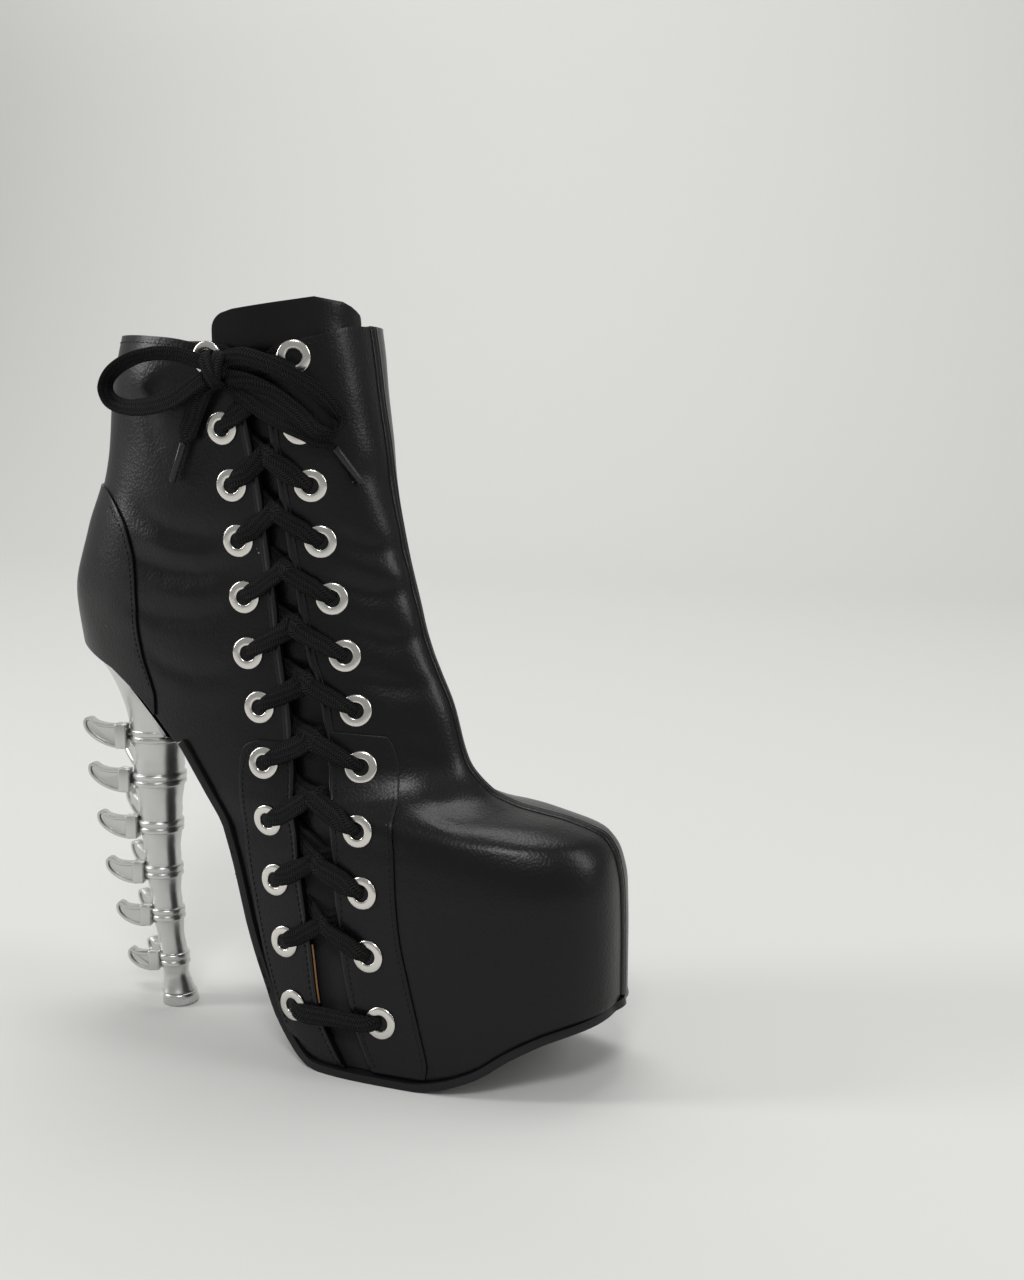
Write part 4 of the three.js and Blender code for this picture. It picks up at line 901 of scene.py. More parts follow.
def strand(bm, row, sign, over):
    """One side's lace: up through its eyelet, over the gap and under the facing to the next eyelet."""
    x, z = EYELETS[row, sign][0] / MM, EYELETS[row, sign][1] / MM
    middle, gap, _ = LACING[row][1:] * LENGTH / MM
    up_x, up_z = EYELETS[row - 1, -sign][0] / MM, EYELETS[row - 1, -sign][1] / MM
    base = in_panel(z * MM) / MM
    edge_x, edge_z = middle - sign * (gap + 1), z + 14.2
    dx, dz = edge_x - x, edge_z - z
    size = math.hypot(dx, dz)
    dx, dz = dx / size, dz / size
    cross = middle - x if sign < 0 else x - middle
    cross_z = z + 14.2 * cross / abs(edge_x - x)
    route = [
        (x - 1.2 * dx, z - 1.2 * dz, -4.0), (x - 0.2 * dx, z - 0.2 * dz, -1.4 + base),
        (x + 1.2 * dx, z + 1.2 * dz, 0.9 + base),
        (x + 4.0 * dx, z + 4.0 * dz, 2.2 + base), (x + 7.5 * dx, z + 7.5 * dz, 2.3 + base),
        (middle + sign * 2.5, cross_z - 1.2, (3.0 if over else 1.9) + base),
        (middle + sign * 1.0, cross_z + 0.6, (3.1 if over else 1.3) + base * 0.5),
        (middle - sign * gap * 0.55, cross_z + (edge_z - cross_z) * 0.55, 0.3 if over else -0.8),
        (edge_x, edge_z, -2.6 if not over else -2.0), (edge_x - sign * 3, edge_z + 1.5, -3.2),
        (up_x + sign * 3, up_z - 3, -3.6),
        (up_x + sign * 0.5, up_z - 0.5, -4.3)]
    points, normals, line = surface_route(route, 46)
    t = np.linspace(0, 1, 47)
    near = np.hypot(line[:, 0] - x, line[:, 1] - z)
    widths = (4.6 + (LACE / MM - 4.4) * unit((near - 1.5) / 6.5) ** 0.8) * MM
    widths *= 1 - 0.10 * np.sin(t * 9 + row)
    heights = np.where(near < 4, 2.6, 2.2) * MM
    twists = 0.28 * np.sin(t * 5.1 + row * 1.7 + sign)
    band(bm, points, normals, widths, heights, twists)


def make_row(row):
    bm = bmesh.new()
    if row == len(LACING) - 2:
        x0, z0 = EYELETS[row, -1][:2]
        x1, z1 = EYELETS[row, 1][:2]
        x0, z0, x1, z1 = [v / MM for v in (x0, z0, x1, z1)]
        base = OVERLAY / MM
        route = [(x0 - 1, z0, -4.2), (x0 - 0.4, z0, -1.0), (x0 + 1.4, z0 - 0.4, 1.5),
                 (x0 + 5, z0 - 1.2, 2.2 + base),
                 ((x0 + x1) / 2, (z0 + z1) / 2 - 0.6, 1.9 + base), (x1 - 5, z1 - 0.6, 2.2 + base),
                 (x1 - 1.4, z1, 1.5),
                 (x1 + 0.4, z1, -1.0), (x1 + 1, z1, -4.2)]
        points, normals, line = surface_route(route, 60)
        near = np.minimum(line[:, 0] - x0, x1 - line[:, 0])
        widths = (4.6 + 2.9 * unit((near - 1.5) / 6) ** 0.8) * MM
        band(bm, points, normals, widths, np.full(61, 2.3 * MM), 0.2 * np.sin(np.linspace(0, 7, 61)))
        for sign in (-1, 1):
            x, z = (x0, z0) if sign < 0 else (x1, z1)
            ux, uz = EYELETS[row - 1, sign][0] / MM, EYELETS[row - 1, sign][1] / MM
            points, normals, line = surface_route([(x, z + 1, -4.3),
                                                   (x * 0.7 + ux * 0.3, z * 0.7 + uz * 0.3, -3.6),
                                                   (x * 0.3 + ux * 0.7, z * 0.3 + uz * 0.7, -3.6),
                                                   (ux, uz - 1, -4.3)], 14)
            band(bm, points, normals, np.full(15, 6.4 * MM), np.full(15, 1.4 * MM))
    else:
        strand(bm, row, -1, False)
        strand(bm, row, 1, True)
    close_ends(bm)
    name = f"lace_row_{row + 1:02d}"
    return finished(bm, name + "_braid", LACE_CLOTH, [name])


# The bow: x, z, lift over the wall in millimetres, and the twist of the band
LOOP_BACK = [(-72, 268.5, 6.2, 20), (-75.2, 270, 7, 30), (-84, 272.6, 7.4, 40), (-94, 273, 8, 52),
             (-104, 271, 9, 66), (-112, 266.8, 10, 82),
             (-116.5, 261.3, 10.6, 96), (-114, 256.3, 10.4, 70), (-107, 254, 9.8, 40), (-98, 254.4, 8.8, 22),
             (-88, 257, 8, 12),
             (-80, 261, 7.2, 8), (-74, 264.5, 6.4, 5)]
LOOP_FRONT = [(-67, 269.5, 6.4, -8), (-64, 271, 7.2, -12), (-57, 271.4, 8.6, -20), (-48, 268, 9.6, -24),
              (-40, 261.6, 9.8, -28),
              (-34, 254.5, 9.2, -40), (-31, 248, 8.6, -70), (-32.5, 243.6, 7.4, -110),
              (-37, 244.5, 6.2, -150), (-43, 250.8, 5.4, -172),
              (-51, 257.8, 5.2, -178), (-58.5, 262.4, 5.4, -180), (-66, 264.6, 5.8, -180)]
TAIL_BACK = [(-43.2, 266.2, -0.4, 0), (-45, 267, 1.6, 0), (-50, 268.5, 2.7, 0), (-58, 268.6, 2.7, 0),
             (-66, 266.5, 2.9, 0), (-72, 263.2, 4.0, 8),
             (-76.4, 259.3, 4.9, 14), (-80, 254, 4.4, 20), (-84, 247, 3.4, 14), (-88, 240.3, 3.0, 0)]
TAIL_FRONT = [(-76.2, 271.0, -0.4, 0), (-75, 270, 1.6, 0), (-72, 267.5, 2.9, 0), (-67, 263, 3.4, 0),
              (-62, 258, 3.7, -10), (-55, 252.5, 4.0, -14),
              (-46, 247, 4.0, -12), (-38, 242.8, 3.5, -5), (-31.9, 238.3, 3.0, 0)]
AGLETS = {"back": ((-88.0, 240.3), (-94.5, 225.3)), "front": ((-31.9, 238.3), (-24.6, 224.6))}


def bow_piece(name, node, route, narrow_start=False, narrow_end=False):
    count = 90
    bm = bmesh.new()
    points, normals, line = surface_route(route, count)
    t = np.linspace(0, 1, count + 1)
    widths = np.full(count + 1, LACE)
    if narrow_start:
        widths = widths - 2.8 * MM * unit(1 - t / 0.12)
    else:
        widths = widths - 1.6 * MM * (unit(1 - t / 0.08) + unit(1 - (1 - t) / 0.08) * (not narrow_end))
    if narrow_end:
        widths = widths - 4.4 * MM * unit(1 - (1 - t) / 0.10)
    widths *= 1 + 0.04 * np.sin(t * 23)
    heights = np.full(count + 1, 1.5 * MM) + 0.9 * MM * unit(1 - (1 - t) / 0.06) * narrow_end
    band(bm, points, normals, widths, heights, np.radians(line[:, 3]))
    close_ends(bm)
    piece = finished(bm, name, LACE_CLOTH, [node])
    far = float(np.linalg.norm(np.diff(points, axis=0), axis=1).sum())
    return piece, points, far


def make_aglet(which):
    start, end = [Vector(on_side(x * MM, z * MM, -1, 3.0 * MM)[0][0]) for x, z in AGLETS[which]]
    bm = bmesh.new()
    rows = [(0.0, 1.15), (0.03, 1.45), (0.5, 1.4), (0.93, 1.3), (0.985, 1.15), (1.0, 0.85)]
    direction = end - start
    turn = direction.to_track_quat("Z", "Y").to_matrix().to_4x4()
    ring = [bm.verts.new((r * MM, 0, s * direction.length)) for s, r in rows]
    edges = [bm.edges.new(pair) for pair in zip(ring[:-1], ring[1:])]
    bmesh.ops.spin(bm, geom=ring + edges, cent=(0, 0, 0), axis=(0, 0, 1), steps=20, angle=2 * math.pi,
                   use_merge=True)
    close_ends(bm, 1e-6)
    bmesh.ops.transform(bm, matrix=Matrix.Translation(start) @ turn, verts=bm.verts)
    return finished(bm, f"aglet_{which}_tip", AGLET, [f"aglet_{which}"])


def make_knot():
    bm = bmesh.new()
    (centre,), (normal,) = on_side(-70 * MM, 267.6 * MM, -1, 6.3 * MM)
    centre, normal = Vector(centre), Vector(normal)
    up = (Vector((0, 0, 1)) - normal * normal.z).normalized()
    side = up.cross(normal)
    frame_ = Matrix((side, up, normal)).transposed()
    for lean, shift, wide, tall in ((0.35, -1.1, 3.4, 7.0), (-0.25, 1.5, 3.0, 6.6), (1.35, 0.2, 2.6, 4.6)):
        points, outs = [], []
        for angle in np.linspace(-0.25 * np.pi, 2.05 * np.pi, 60):
            r = Vector((shift, tall * math.cos(angle) * 0.92, wide * math.sin(angle)))
            r.rotate(Matrix.Rotation(lean, 3, "Z"))
            o = Vector((0, math.cos(angle) * wide, math.sin(angle) * tall))
            o.rotate(Matrix.Rotation(lean, 3, "Z"))
            points.append(centre + frame_ @ (r * MM))
            outs.append((frame_ @ o).normalized())
        band(bm, points, outs, np.full(60, 5.4 * MM), np.full(60, 1.6 * MM))
    close_ends(bm)
    core = bmesh.ops.create_icosphere(bm, subdivisions=3, radius=1)["verts"]
    bmesh.ops.scale(bm, vec=(3.6 * MM, 5.2 * MM, 2.4 * MM), verts=core)
    bmesh.ops.transform(bm, matrix=Matrix.Translation(centre) @ frame_.to_4x4(), verts=core)
    return finished(bm, "lace_knot_braid", LACE_CLOTH, ["lace_knot"])


def make_tongue():
    bm = bmesh.new()
    top, low = COLLAR + TONGUE_RISE, float(bed_at(0.0)) + INSOLE + 1.2 * MM
    radius = 9 * MM

    def place(s, t):
        z = low + (top - low) * t
        middle = lacing_at(np.minimum(z, LACING_TOP))[0]
        high = smooth((z - 0.2) / 0.08)
        over = unit((z - (top - radius)) / radius)
        trim = radius * (1 - np.sqrt(np.maximum(1 - over**2, 0)))
        back_x = middle - (26 * MM + (16 - 26) * MM * high) + trim
        _, front, *_ = level(z)
        front_x = np.minimum(middle + (26 * MM + 6 * MM * high), front - 0.6 * MM - trim)
        first, last = turn_at(back_x, z, -1), turn_at(front_x, z, -1) + 0.25 * high * (1 - trim / radius)
        turn = first + (last - first) * s
        near = (z - 0.262) / 0.016
        lift = -(WALL + 3.2 * MM) + 2.0 * MM * smooth(near) + 0.5 * MM * np.sin(z / MM * 0.16 + 3 * s) * (1 - unit(near))
        lean = unit((z - 0.276) / 0.02)
        slant = unit((z - 0.264) / 0.03) ** 1.5 * (6.0 - 4.4 * s) * MM
        return skin(turn, z - slant, lift + 0.4 * MM * lean)[0]
    laid_grid(bm, 44, 150, place)
    face_towards(bm, "y", -1)
    return finished(bm, "tongue_leather", LEATHER, ["tongue"],
                    modifiers=[thick(TONGUE), soft_edge(0.7 * MM, 3)])


def make_insole():
    bm = bmesh.new()
    edge = lambda x: bed_at(x) + GAP + INSOLE
    front, back = profile_end(edge, True) - 3.2 * MM, profile_end(edge, False) + 3.0 * MM

    def place(s, t):
        x = back + (front - back) * (0.5 - 0.5 * np.cos(np.pi * s))
        z = edge(x)
        low, high = [on_side(x, z, side, 0)[0][:, 1] for side in (-1, 1)]
        inset = WALL + 1.0 * MM
        half = np.maximum((high - low) / 2 - inset, 0.4 * MM)
        return np.stack([x, (low + high) / 2 + half * (2 * t - 1),
                         z - 0.8 * MM * (1 - (2 * t - 1) ** 2) * np.sin(np.pi * s)], -1)
    laid_grid(bm, 110, 26, place)
    face_towards(bm, "z", 1)
    return finished(bm, "insole_lining", LINING, ["insole"],
                    modifiers=[thick(INSOLE - 0.4 * MM), soft_edge(0.5 * MM)])


def column_x(z):
    return HEEL_AT - eased(RINGS_UP[:, 0], RINGS_UP[:, 2], np.asarray(z) / SEAT) * LENGTH


def column_radius(z):
    return eased(RINGS_UP[:, 0], RINGS_UP[:, 1], np.asarray(z) / SEAT) * HEEL_TOP_WIDTH / 2


def column_profile():
    """Heights and radii of the heel's column: drums that swell a little, and a stepped ring at each level."""
    rows = [(HEEL_TIP_HEIGHT + GAP, HEEL_TIP_WIDTH / 2 - 0.3 * MM),
            (HEEL_TIP_HEIGHT + 1.2 * MM, HEEL_TIP_WIDTH / 2 - 0.9 * MM),
            (HEEL_TIP_HEIGHT + 4 * MM, float(column_radius(HEEL_TIP_HEIGHT)) + 0.1 * MM)]
    rings = [share * SEAT for share in RINGS_UP[1:, 0]]
    for k, z in enumerate(rings):
        r = float(column_radius(z))
        previous = rings[k - 1] + 2.6 * MM if k else HEEL_TIP_HEIGHT + 4 * MM
        for share in (0.2, 0.4, 0.6, 0.8):
            place = previous + (z - 2.6 * MM - previous) * share
            rows.append((place,
                         float(column_radius(place)) - 0.45 * MM + 0.3 * MM * math.cos(2 * math.pi * share)))
        rows += [(z - 2.75 * MM, r - 0.35 * MM), (z - 2.5 * MM, r + 0.35 * MM), (z - 2.2 * MM, r + 0.55 * MM),
                 (z - 0.7 * MM, r + 0.5 * MM),
                 (z - 0.45 * MM, r + 0.1 * MM), (z + 0.1 * MM, r + 0.1 * MM), (z + 0.35 * MM, r + 0.6 * MM),
                 (z + 2.0 * MM, r + 0.65 * MM),
                 (z + 2.4 * MM, r + 0.4 * MM), (z + 2.65 * MM, r - 0.3 * MM)]
    return sorted(rows)


def make_column():
    bm = bmesh.new()
    rows = column_profile()
    heights, radii = np.array(rows).T

    def place(s, t):
        i = np.rint(t * (len(rows) - 1)).astype(int)
        angle = 2 * np.pi * s
        x = column_x(heights[i])
        return np.stack([x + radii[i] * np.cos(angle), radii[i] * np.sin(angle), heights[i]], -1)
    laid_grid(bm, 48, len(rows) - 1, place)
    close_ends(bm)
    return finished(bm, "heel_column", HEEL_METAL, ["heel"],
                    modifiers=[soft_edge(0.12 * MM, 2, 25)])


def make_cup():
    bm = bmesh.new()
    top = RINGS_UP[-1, 0] * SEAT
    radius = float(column_radius(top))
    back = float(level(SEAT * 0.99)[0]) + 0.6 * MM
    start = BREAST - GAP

    def place(s, t):
        around = 2 * np.pi * s
        x = back + (start - back) * (0.5 + 0.5 * np.cos(around))
        z = sole_at(x) - 0.1 * MM
        side = np.where(np.sin(around) >= 0, 1, -1)
        y = last_point(turn_at(np.maximum(x, back), z, side), z)[:, 1]
        ends = unit(np.abs(np.sin(around)) / 0.06)
        y = np.where(x < back + 2 * MM, y * ends, y) * 0.985
        centre = float(column_x(top))
        angle = np.arctan2(y, x - centre)
        round_ = np.stack([centre + radius * np.cos(angle), radius * np.sin(angle),
                           np.full_like(x, top - 0.5 * MM)], -1)
        rim = np.stack([x, y, z], -1)
        t = 1 - t
        narrow, sink = (1 - (1 - t) ** 1.7)[:, None], (t**1.15)[:, None]
        point = rim * (1 - np.concatenate([narrow, narrow, sink], 1)) + round_ * np.concatenate([narrow,
                narrow, sink], 1)
        return point
    laid_grid(bm, 72, 28, place)
    close_ends(bm)
    return finished(bm, "heel_cup", HEEL_METAL, ["heel"])


def make_spur(index, side):
    share = HEEL_RINGS[index, 0]
    reach, depth, outer, inner = SPURS[index]
    z = share * SEAT
    radius = float(column_radius(z)) / MM
    reach, depth = SPUR_LENGTH / MM * reach, SPUR_DEPTH / MM * depth
    rise = SPUR_LENGTH / MM * (inner if side > 0 else outer)
    outline = [(radius * 0.5, -depth * 0.5), (reach * 0.30, -depth * 0.58 + rise * 0.15),
               (reach * 0.55, -depth * 0.54 + rise * 0.42),
               (reach * 0.78, -depth * 0.38 + rise * 0.74), (reach * 0.95, -depth * 0.10 + rise * 0.96),
               (reach * 1.0, depth * 0.20 + rise),
               (reach * 0.965, depth * 0.40 + rise), (reach * 0.87, depth * 0.43 + rise * 0.96),
               (reach * 0.78, depth * 0.32 + rise * 0.85),
               (reach * 0.6, depth * 0.28 + rise * 0.56), (reach * 0.36, depth * 0.33 + rise * 0.25),
               (radius * 0.5, depth * 0.40)]
    loop = even(np.vstack([smooth_line(outline, 5), outline[0]]), 44)[:-1]
    bm = bmesh.new()
    face = bm.faces.new([bm.verts.new((x * MM, y * MM, -SPUR_THICK / 2)) for x, y in loop])
    lifted = bmesh.ops.extrude_face_region(bm, geom=[face])["geom"]
    bmesh.ops.translate(bm, vec=(0, 0, SPUR_THICK),
                        verts=[v for v in lifted if isinstance(v, bmesh.types.BMVert)])
    bmesh.ops.recalc_face_normals(bm, faces=bm.faces)
    flats = [f for f in bm.faces if len(f.verts) > 4]
    for thickness, depth_ in ((1.0, 0.0), (0.5, -0.75)):
        bmesh.ops.inset_region(bm, faces=flats, thickness=thickness * MM, depth=depth_ * MM,
                               use_even_offset=False)
    root = bmesh.ops.create_cube(bm, size=1)["verts"]
    bmesh.ops.scale(bm, vec=(5.0 * MM, depth * 0.98 * MM, SPUR_THICK + 1.2 * MM), verts=root)
    bmesh.ops.translate(bm, vec=(radius * 0.62 * MM, -depth * 0.05 * MM, 0), verts=root)
    bmesh.ops.bevel(bm, geom=list({e for v in root for e in v.link_edges}), offset=0.8 * MM, segments=3,
                    profile=0.5, affect="EDGES",
                    material=-1)
    turn = Matrix.Rotation(math.pi - side * SPUR_SPLAY, 4, "Z") @ Matrix.Rotation(math.pi / 2, 4, "X")
    place = Matrix.Translation((float(column_x(z)) - radius * 0.45 * MM, side * radius * 0.62 * MM, z))
    bmesh.ops.transform(bm, matrix=place @ turn, verts=bm.verts)
    bmesh.ops.recalc_face_normals(bm, faces=bm.faces)
    return finished(bm, f"spur_{'inner' if side > 0 else 'outer'}_{index + 1}", HEEL_METAL,
                    ["heel"],
                    modifiers=[soft_edge(0.5 * MM, 3, 32)])


def make_tip():
    bm = bmesh.new()
    radius = HEEL_TIP_WIDTH / 2 / MM
    rows = [(radius - 0.5, 0), (radius - 0.1, 0.4), (radius, 1.0), (radius - 0.15, 3.6), (radius - 0.4, 4.6),
            (radius - 0.9, 5.0)]
    ring = [bm.verts.new((r * MM, 0, h * MM)) for r, h in rows]
    edges = [bm.edges.new(pair) for pair in zip(ring[:-1], ring[1:])]
    bmesh.ops.spin(bm, geom=ring + edges, cent=(0, 0, 0), axis=(0, 0, 1), steps=48, angle=2 * math.pi,
                   use_merge=True)
    close_ends(bm, 1e-6)
    bmesh.ops.translate(bm, vec=(HEEL_AT, 0, 0), verts=bm.verts)
    return finished(bm, "heel_tip_cap", HEEL_METAL, ["heel_tip"])


def panel(name, first, second, lift, thickness, columns, rows, side=-1):
    """An overlay of leather between two lines in x and z, both given from the bottom up, in millimetres."""
    a, b = even(smooth_line(first), rows) * MM, even(smooth_line(second), rows) * MM
    bm = bmesh.new()

    def place(s, t):
        j = np.rint(t * rows).astype(int)
        at = a[j] + (b[j] - a[j]) * s[:, None]
        return on_side(at[:, 0], at[:, 1], side, lift)[0]
    laid_grid(bm, columns, rows, place)
    face_towards(bm, "y", side)
    return finished(bm, name, PANEL, modifiers=[thick(thickness), soft_edge(0.35 * MM)])


def make_counter():
    """The counter wraps the heel from the outer seam to the inner one."""
    seam = np.array([(-112, 140.5), (-113.6, 146), (-117.0, 157), (-118.2, 171), (-118.0, 189), (-122, 207),
                     (-133.6, 220), (-148, 223.5)])
    line = even(smooth_line(seam), 80) * MM
    bm = bmesh.new()
    low = np.array([float(sole_edge(x)) for x in line[:, 0]])
    z_line = np.maximum(line[:, 1], low + 0.3 * MM)
    outer_turn = np.mod(turn_at(line[:, 0], z_line, -1), 2 * np.pi)
    inner_turn = turn_at(line[:, 0], z_line, 1)
    top_z = z_line[-1]
    back = profile(float(sole_edge(seat_x)), top_z + 1.5 * MM, False)
    for side, turn in ((1, inner_turn), (-1, outer_turn)):
        bottom = edge_curve(sole_edge, line[0, 0], seat_x, side, True)
        seam_line = np.stack([turn, z_line], -1)
        top = np.stack([np.linspace(turn[-1], np.pi, 200),
                        top_z + 1.5 * MM * np.sin(np.linspace(0, np.pi / 2, 200))], -1)
        bottom[0], bottom[-1], top[-1] = seam_line[0], back[0], back[-1]
        at = coons(bottom, top, seam_line, back, 45, 76, side)
        laid_grid(bm, 45, 76, lambda s, t: on_side(*at(s, t).T, side, OVERLAY)[0])
    bmesh.ops.remove_doubles(bm, verts=bm.verts, dist=0.14 * MM)
    face_towards(bm, "x", -1)
    return finished(bm, "counter", PANEL,
                    modifiers=[thick(OVERLAY + 0.05 * MM), soft_edge(0.35 * MM)])


def make_front_seam():
    """The raised seam down the middle of the front, with a groove between its two edges."""
    z = profile(float(sole_edge(toe_x)) + 0.4 * MM, float(collar_edge(throat_x, 1)) - 0.4 * MM, True)
    line = resampled(z, 220)
    bm = bmesh.new()

    def place(s, t):
        j = np.rint(t * 220).astype(int)
        across = (s - 0.5) * 6.4 * MM + 2.4 * MM
        turn = line[j, 0]
        wide = np.linalg.norm(last_point(turn + 0.01, line[j, 1]) - last_point(turn - 0.01, line[j, 1]),
                              axis=1) / 0.02
        ridge = np.maximum(0, 1 - np.abs(s - 0.5) * 2) ** 0.55
        lift = 0.05 * MM + 1.05 * MM * ridge - 0.5 * MM * np.exp(-((s - 0.5) / 0.07) ** 2)
        return skin(turn + across / wide, line[j, 1], lift)[0]
    laid_grid(bm, 14, 220, place)
    return finished(bm, "front_seam", LEATHER, modifiers=[thick(0.9 * MM)])


def stitches(name, lines, pitch=2.3, length=1.7, girth=0.42, lift=0.12):
    """Rows of thread: each line is points and normals of a surface in metres."""
    bm = bmesh.new()
    for points, normals in lines:
        far = np.concatenate([[0], np.cumsum(np.linalg.norm(np.diff(points, axis=0), axis=1))])
        count = max(2, int(far[-1] / (pitch * MM)))
        for k in range(count):
            at = (k + 0.5) * far[-1] / count
            here = Vector([np.interp(at, far, points[:, c]) for c in range(3)])
            ahead = Vector([np.interp(min(at + 0.3 * MM, far[-1]), far, points[:, c]) for c in range(3)])
            before = Vector([np.interp(max(at - 0.3 * MM, 0), far, points[:, c]) for c in range(3)])
            out = Vector([np.interp(at, far, normals[:, c]) for c in range(3)]).normalized()
            along = (ahead - before).normalized()
            side = out.cross(along).normalized()
            turn = Matrix((along, side, along.cross(side))).transposed().to_4x4()
            size = Matrix.Diagonal((length / 2 * MM, girth / 2 * MM, girth / 2 * MM, 1))
            bmesh.ops.create_icosphere(bm, subdivisions=1, radius=1,
                                       matrix=Matrix.Translation(here + out * lift * MM) @ turn @ size)
    return finished(bm, name, THREAD)


def surface_line(route, side=-1, lift=0.0, count=160):
    line = even(smooth_line(route), count) * MM
    return on_side(line[:, 0], line[:, 1], side, lift)


def facing_line(sign, inset, low=None, high=None, lift=0.0):
    x, z = facing_curve(sign)
    keep = (z > (low or 0) * MM) & (z < (high or 999) * MM)
    return on_side(x[keep] + sign * inset * MM, z[keep], -1, lift)


def make_facing_edge(name, sign, low, high, base, start=-0.25, width=3.4, material=None):
    """The folded edge of a facing: a bead along the edge and a groove where it is stitched down."""
    x, z = facing_curve(sign)
    keep = (z > low * MM) & (z < high * MM)
    line = even(np.stack([x[keep], z[keep]], -1), 150)
    bm = bmesh.new()

    def place(s, t):
        j = np.rint(t * 150).astype(int)
        bead = np.sin(np.pi * unit(s / 0.62)) ** 0.6
        lift = base + (0.10 + 0.62 * bead - 0.05 * (s > 0.62)) * MM
        return on_side(line[j, 0] + sign * (start + width * s) * MM, line[j, 1], -1, lift)[0]
    laid_grid(bm, 12, 150, place)
    face_towards(bm, "y", -1)
    return finished(bm, name, material or EDGE, modifiers=[thick(0.5 * MM)])


# The zip

def zip_grid(name, half, lift, depth, low, high, material, nodes=(), columns=8):
    bm = bmesh.new()

    def place(s, t):
        z = low + (high - low) * t
        return on_side(zip_at(z) + (2 * s - 1) * half, z, 1, lift)[0]
    laid_grid(bm, columns, 120, place)
    face_towards(bm, "y", 1)
    return finished(bm, name, material, nodes, modifiers=[thick(depth)])


def make_coil():
    bm = bmesh.new()
    z = np.arange(0.1325, 0.2775, 1.05 * MM)
    for sign in (-1, 1):
        points, normals = on_side(zip_at(z) + sign * 1.15 * MM, z + sign * 0.26 * MM, 1, -1.15 * MM)
        for p, n in zip(points, normals):
            n = Vector(n)
            up = (Vector((0, 0, 1)) - n * n.z).normalized()
            turn = Matrix((up.cross(n), up, n)).transposed().to_4x4()
            bmesh.ops.create_icosphere(bm, subdivisions=2, radius=1,
                                       matrix=Matrix.Translation(p) @ turn @ Matrix.Rotation(
                0.25 * sign, 4, "Z") @ Matrix.Diagonal((1.5 * MM, 0.46 * MM, 0.62 * MM, 1)))
    return finished(bm, "zip_coil", COIL, ["zip_tape"])


SLIDER_Z = COLLAR - 18 * MM
(slider_at,), (slider_out,) = [np.asarray(v) for v in (
    last_point(turn_at(zip_at(SLIDER_Z), SLIDER_Z, 1), SLIDER_Z)[None],
    np.array([[-0.0885, 0.9932, -0.0760]]))]
SLIDER_UP = Vector((0.0137, 0.0775, 0.9969))
SLIDER_OUT = Vector((-0.0885, 0.9932, -0.0760))
SLIDER_FRAME = Matrix.Translation(Vector(np.ravel(slider_at))) @ Matrix((SLIDER_OUT.cross(SLIDER_UP),
        SLIDER_UP, SLIDER_OUT)).transposed().to_4x4()


def block(bm, across, along, out, round_=0.3, segments=3):
    made = bmesh.ops.create_cube(bm, size=1)["verts"]
    sizes = [(hi - lo) * MM for lo, hi in (across, along, out)]
    bmesh.ops.scale(bm, vec=sizes, verts=made)
    bmesh.ops.translate(bm, vec=[(hi + lo) / 2 * MM for lo, hi in (across, along, out)], verts=made)
    edges = list({e for v in made for e in v.link_edges})
    bmesh.ops.bevel(bm, geom=edges, offset=round_ * MM, segments=segments, profile=0.5, affect="EDGES",
                    material=-1)


def make_slider():
    bm = bmesh.new()
    body = [(-4.5, 5.6), (-4.2, 6.6), (-3.2, 7.0), (3.2, 7.0), (4.2, 6.6), (4.5, 5.6), (3.5, -5.8),
            (3.0, -6.7), (2.2, -7.0), (-2.2, -7.0),
            (-3.0, -6.7), (-3.5, -5.8)]
    face = bm.faces.new([bm.verts.new((x * MM, y * MM, 0.4 * MM)) for x, y in body])
    lifted = bmesh.ops.extrude_face_region(bm, geom=[face])["geom"]
    bmesh.ops.translate(bm, vec=(0, 0, 2.4 * MM),
                        verts=[v for v in lifted if isinstance(v, bmesh.types.BMVert)])
    bmesh.ops.recalc_face_normals(bm, faces=bm.faces)
    edges = [e for e in bm.edges if e.calc_face_angle(0) > 0.9]
    bmesh.ops.bevel(bm, geom=edges, offset=0.45 * MM, segments=3, profile=0.5, affect="EDGES", material=-1)
    block(bm, (-2.3, 2.3), (-5.6, 5.6), (-0.6, 0.6), 0.2)
    block(bm, (-1.1, 1.1), (-4.6, -2.8), (2.6, 6.3), 0.4)
    block(bm, (-1.1, 1.1), (2.8, 4.6), (2.6, 6.3), 0.4)
    block(bm, (-1.1, 1.1), (-4.6, 4.6), (6.1, 7.5), 0.45)
    bmesh.ops.transform(bm, matrix=SLIDER_FRAME, verts=bm.verts)
    return finished(bm, "zip_slider_body", NICKEL, ["zip_slider"])


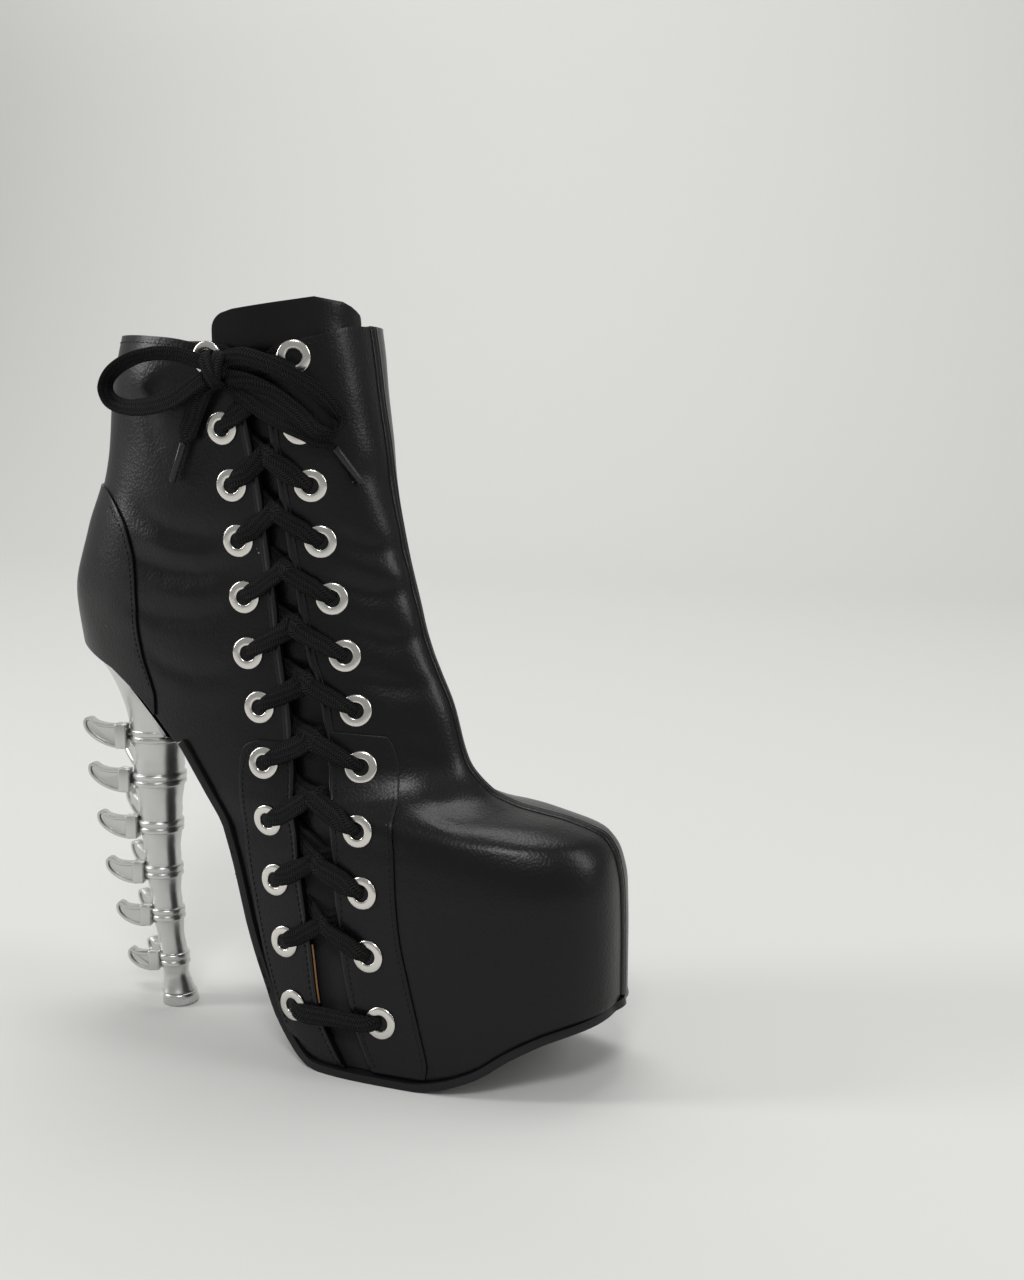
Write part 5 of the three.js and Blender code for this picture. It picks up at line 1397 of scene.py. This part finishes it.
def make_pull():
    bm = bmesh.new()
    low, high = 3.7, 5.3
    block(bm, (-3.0, 3.0), (-0.75, 0.75), (low, high), 0.5)
    for sign in (-1, 1):
        block(bm, (1.75, 3.0) if sign > 0 else (-3.0, -1.75), (-9.0, 0.75), (low, high), 0.4)
    block(bm, (-3.0, 3.0), (-9.0, -7.4), (low, high), 0.5)

    def place(s, t):
        y = -8.6 - 15.2 * t
        wide = 2.6 + 1.6 * t**0.8 - 0.5 * np.sin(np.pi * t) ** 2
        wave = 4.5 + 0.55 * np.sin(2 * np.pi * t) - 0.1 * t
        return np.stack([(2 * s - 1) * wide, y, wave + 0 * s], -1) * MM
    tab = laid_grid(bm, 8, 24, place)
    faces = list({f for v in tab for f in v.link_faces})
    bmesh.ops.recalc_face_normals(bm, faces=faces)
    bmesh.ops.solidify(bm, geom=faces, thickness=1.1 * MM)
    bmesh.ops.recalc_face_normals(bm, faces=bm.faces)
    bmesh.ops.transform(bm, matrix=SLIDER_FRAME, verts=bm.verts)
    return finished(bm, "zip_pull_tab", NICKEL, ["zip_pull"], body="pull",
                    modifiers=[soft_edge(0.25 * MM, 2)])


upper = make_upper()
outsole = make_outsole()
insole = make_insole()
tongue = make_tongue()
column, cup, tip = make_column(), make_cup(), make_tip()
platform = bpy.data.objects["platform"].data
platform.materials.clear()
platform.materials.append(LINING)
for index in range(len(SPURS)):
    for side in (-1, 1):
        make_spur(index, side)
for row, sign in EYELETS:
    make_eyelet(row, sign)
for row in range(1, len(LACING) - 1):
    make_row(row)

knot = make_knot()
aglet_back, aglet_front = make_aglet("back"), make_aglet("front")
loop_back, loop_back_line, loop_back_length = bow_piece("bow_loop_back", "lace_loop_back", LOOP_BACK)
loop_front, loop_front_line, loop_front_length = bow_piece("bow_loop_front", "lace_loop_front", LOOP_FRONT)
tail_back, tail_back_line, tail_back_length = bow_piece("bow_tail_back", "lace_end_back", TAIL_BACK, True,
                                                        True)
tail_front, tail_front_line, tail_front_length = bow_piece("bow_tail_front", "lace_end_front", TAIL_FRONT,
                                                           True, True)

# Panels: the counter at the heel, the two sides of the lower lacing and the seam of the front
make_counter()
fx, fz = facing_curve(1)
bx, bz = facing_curve(-1)
front_edge = [(float(np.interp(z * MM, fz, fx)) / MM + 0.1, z) for z in (4.4, 12, 24, 40, 60, 80, 100, 118,
        131.5)]
back_edge = [(float(np.interp(z * MM, bz, bx)) / MM - 0.1, z) for z in (4.4, 12, 24, 40, 60, 80, 100, 118,
        126.5)]
panel("lacing_panel_front", front_edge,
      [(12.0, 4.6), (12.4, 10.5), (9, 24), (4.4, 42), (1.1, 56), (-0.9, 72), (-2.4, 90), (-6, 110),
       (-9.4, 124),
                                         (-12.5, 129.5)], OVERLAY, OVERLAY, 20, 110)
panel("lacing_panel_back",
      [(-50.5, 12.0), (-54.6, 24), (-60.6, 46), (-66.0, 72), (-68.6, 88), (-69.8, 103), (-70.3, 115),
       (-68.2, 123.5),
                            (-62, 126.6)], back_edge, OVERLAY, OVERLAY, 18, 110)
make_front_seam()
make_facing_edge("facing_edge_back", -1, 5, 262, OVERLAY * 0.55)
make_facing_edge("facing_edge_front", 1, 6, 258, OVERLAY * 0.55)
make_facing_edge("facing_raw_edge", -1, 27, 50, -0.25 * MM, -0.9, 0.9, RAW_EDGE)

rows_of_thread = []
rows_of_thread.append(facing_line(-1, 2.4, 130, 262, 0.0))
rows_of_thread.append(facing_line(1, 2.4, 136, 258, 0.0))
rows_of_thread.append(facing_line(-1, 2.4, 6, 124, OVERLAY))
rows_of_thread.append(facing_line(1, 2.4, 6, 129, OVERLAY))
rows_of_thread.append(surface_line([(10.4, 6.6), (10.6, 11), (7.2, 24), (2.6, 42), (-0.7, 56), (-2.7, 72),
                                    (-4.2, 90), (-7.6, 109),
                                    (-11.6, 123)], lift=OVERLAY))
rows_of_thread.append(surface_line([(-49.4, 15), (-52.9, 25), (-58.9, 47), (-64.3, 73), (-66.9, 89),
                                    (-68.1, 103), (-68.5, 113),
                                    (-66.6, 121.5), (-61, 124.6)], lift=OVERLAY))
for side in (-1, 1):
    rows_of_thread.append(surface_line([(-114.0, 143.5), (-115.4, 148), (-118.9, 158), (-120.1, 171),
                                        (-119.9, 188), (-123.6, 205),
                                        (-131.5, 215.0)], side=side, lift=OVERLAY))
for side, lo, hi in ((-1, -0.136, -0.070), (-1, -0.050, -0.030), (1, -0.132, -0.100), (1, -0.086, -0.032)):
    x = np.linspace(lo, hi, 80)
    rows_of_thread.append(on_side(x, collar_edge(x, side) - 2.6 * MM, side))
for sign in (-1, 1):
    z = np.linspace(0.1345, 0.2790, 120)
    rows_of_thread.append(on_side(zip_at(z) + sign * (ZIP_OPENING / 2 + 1.7 * MM), z, 1))
stitches("stitching", rows_of_thread)

zip_grid("zip_tape_cloth", 10.5 * MM, -WALL - 0.35 * MM, 0.7 * MM, 0.1285, 0.2795, ZIP_CLOTH,
         ["zip_tape"])
make_coil()
make_slider()
make_pull()
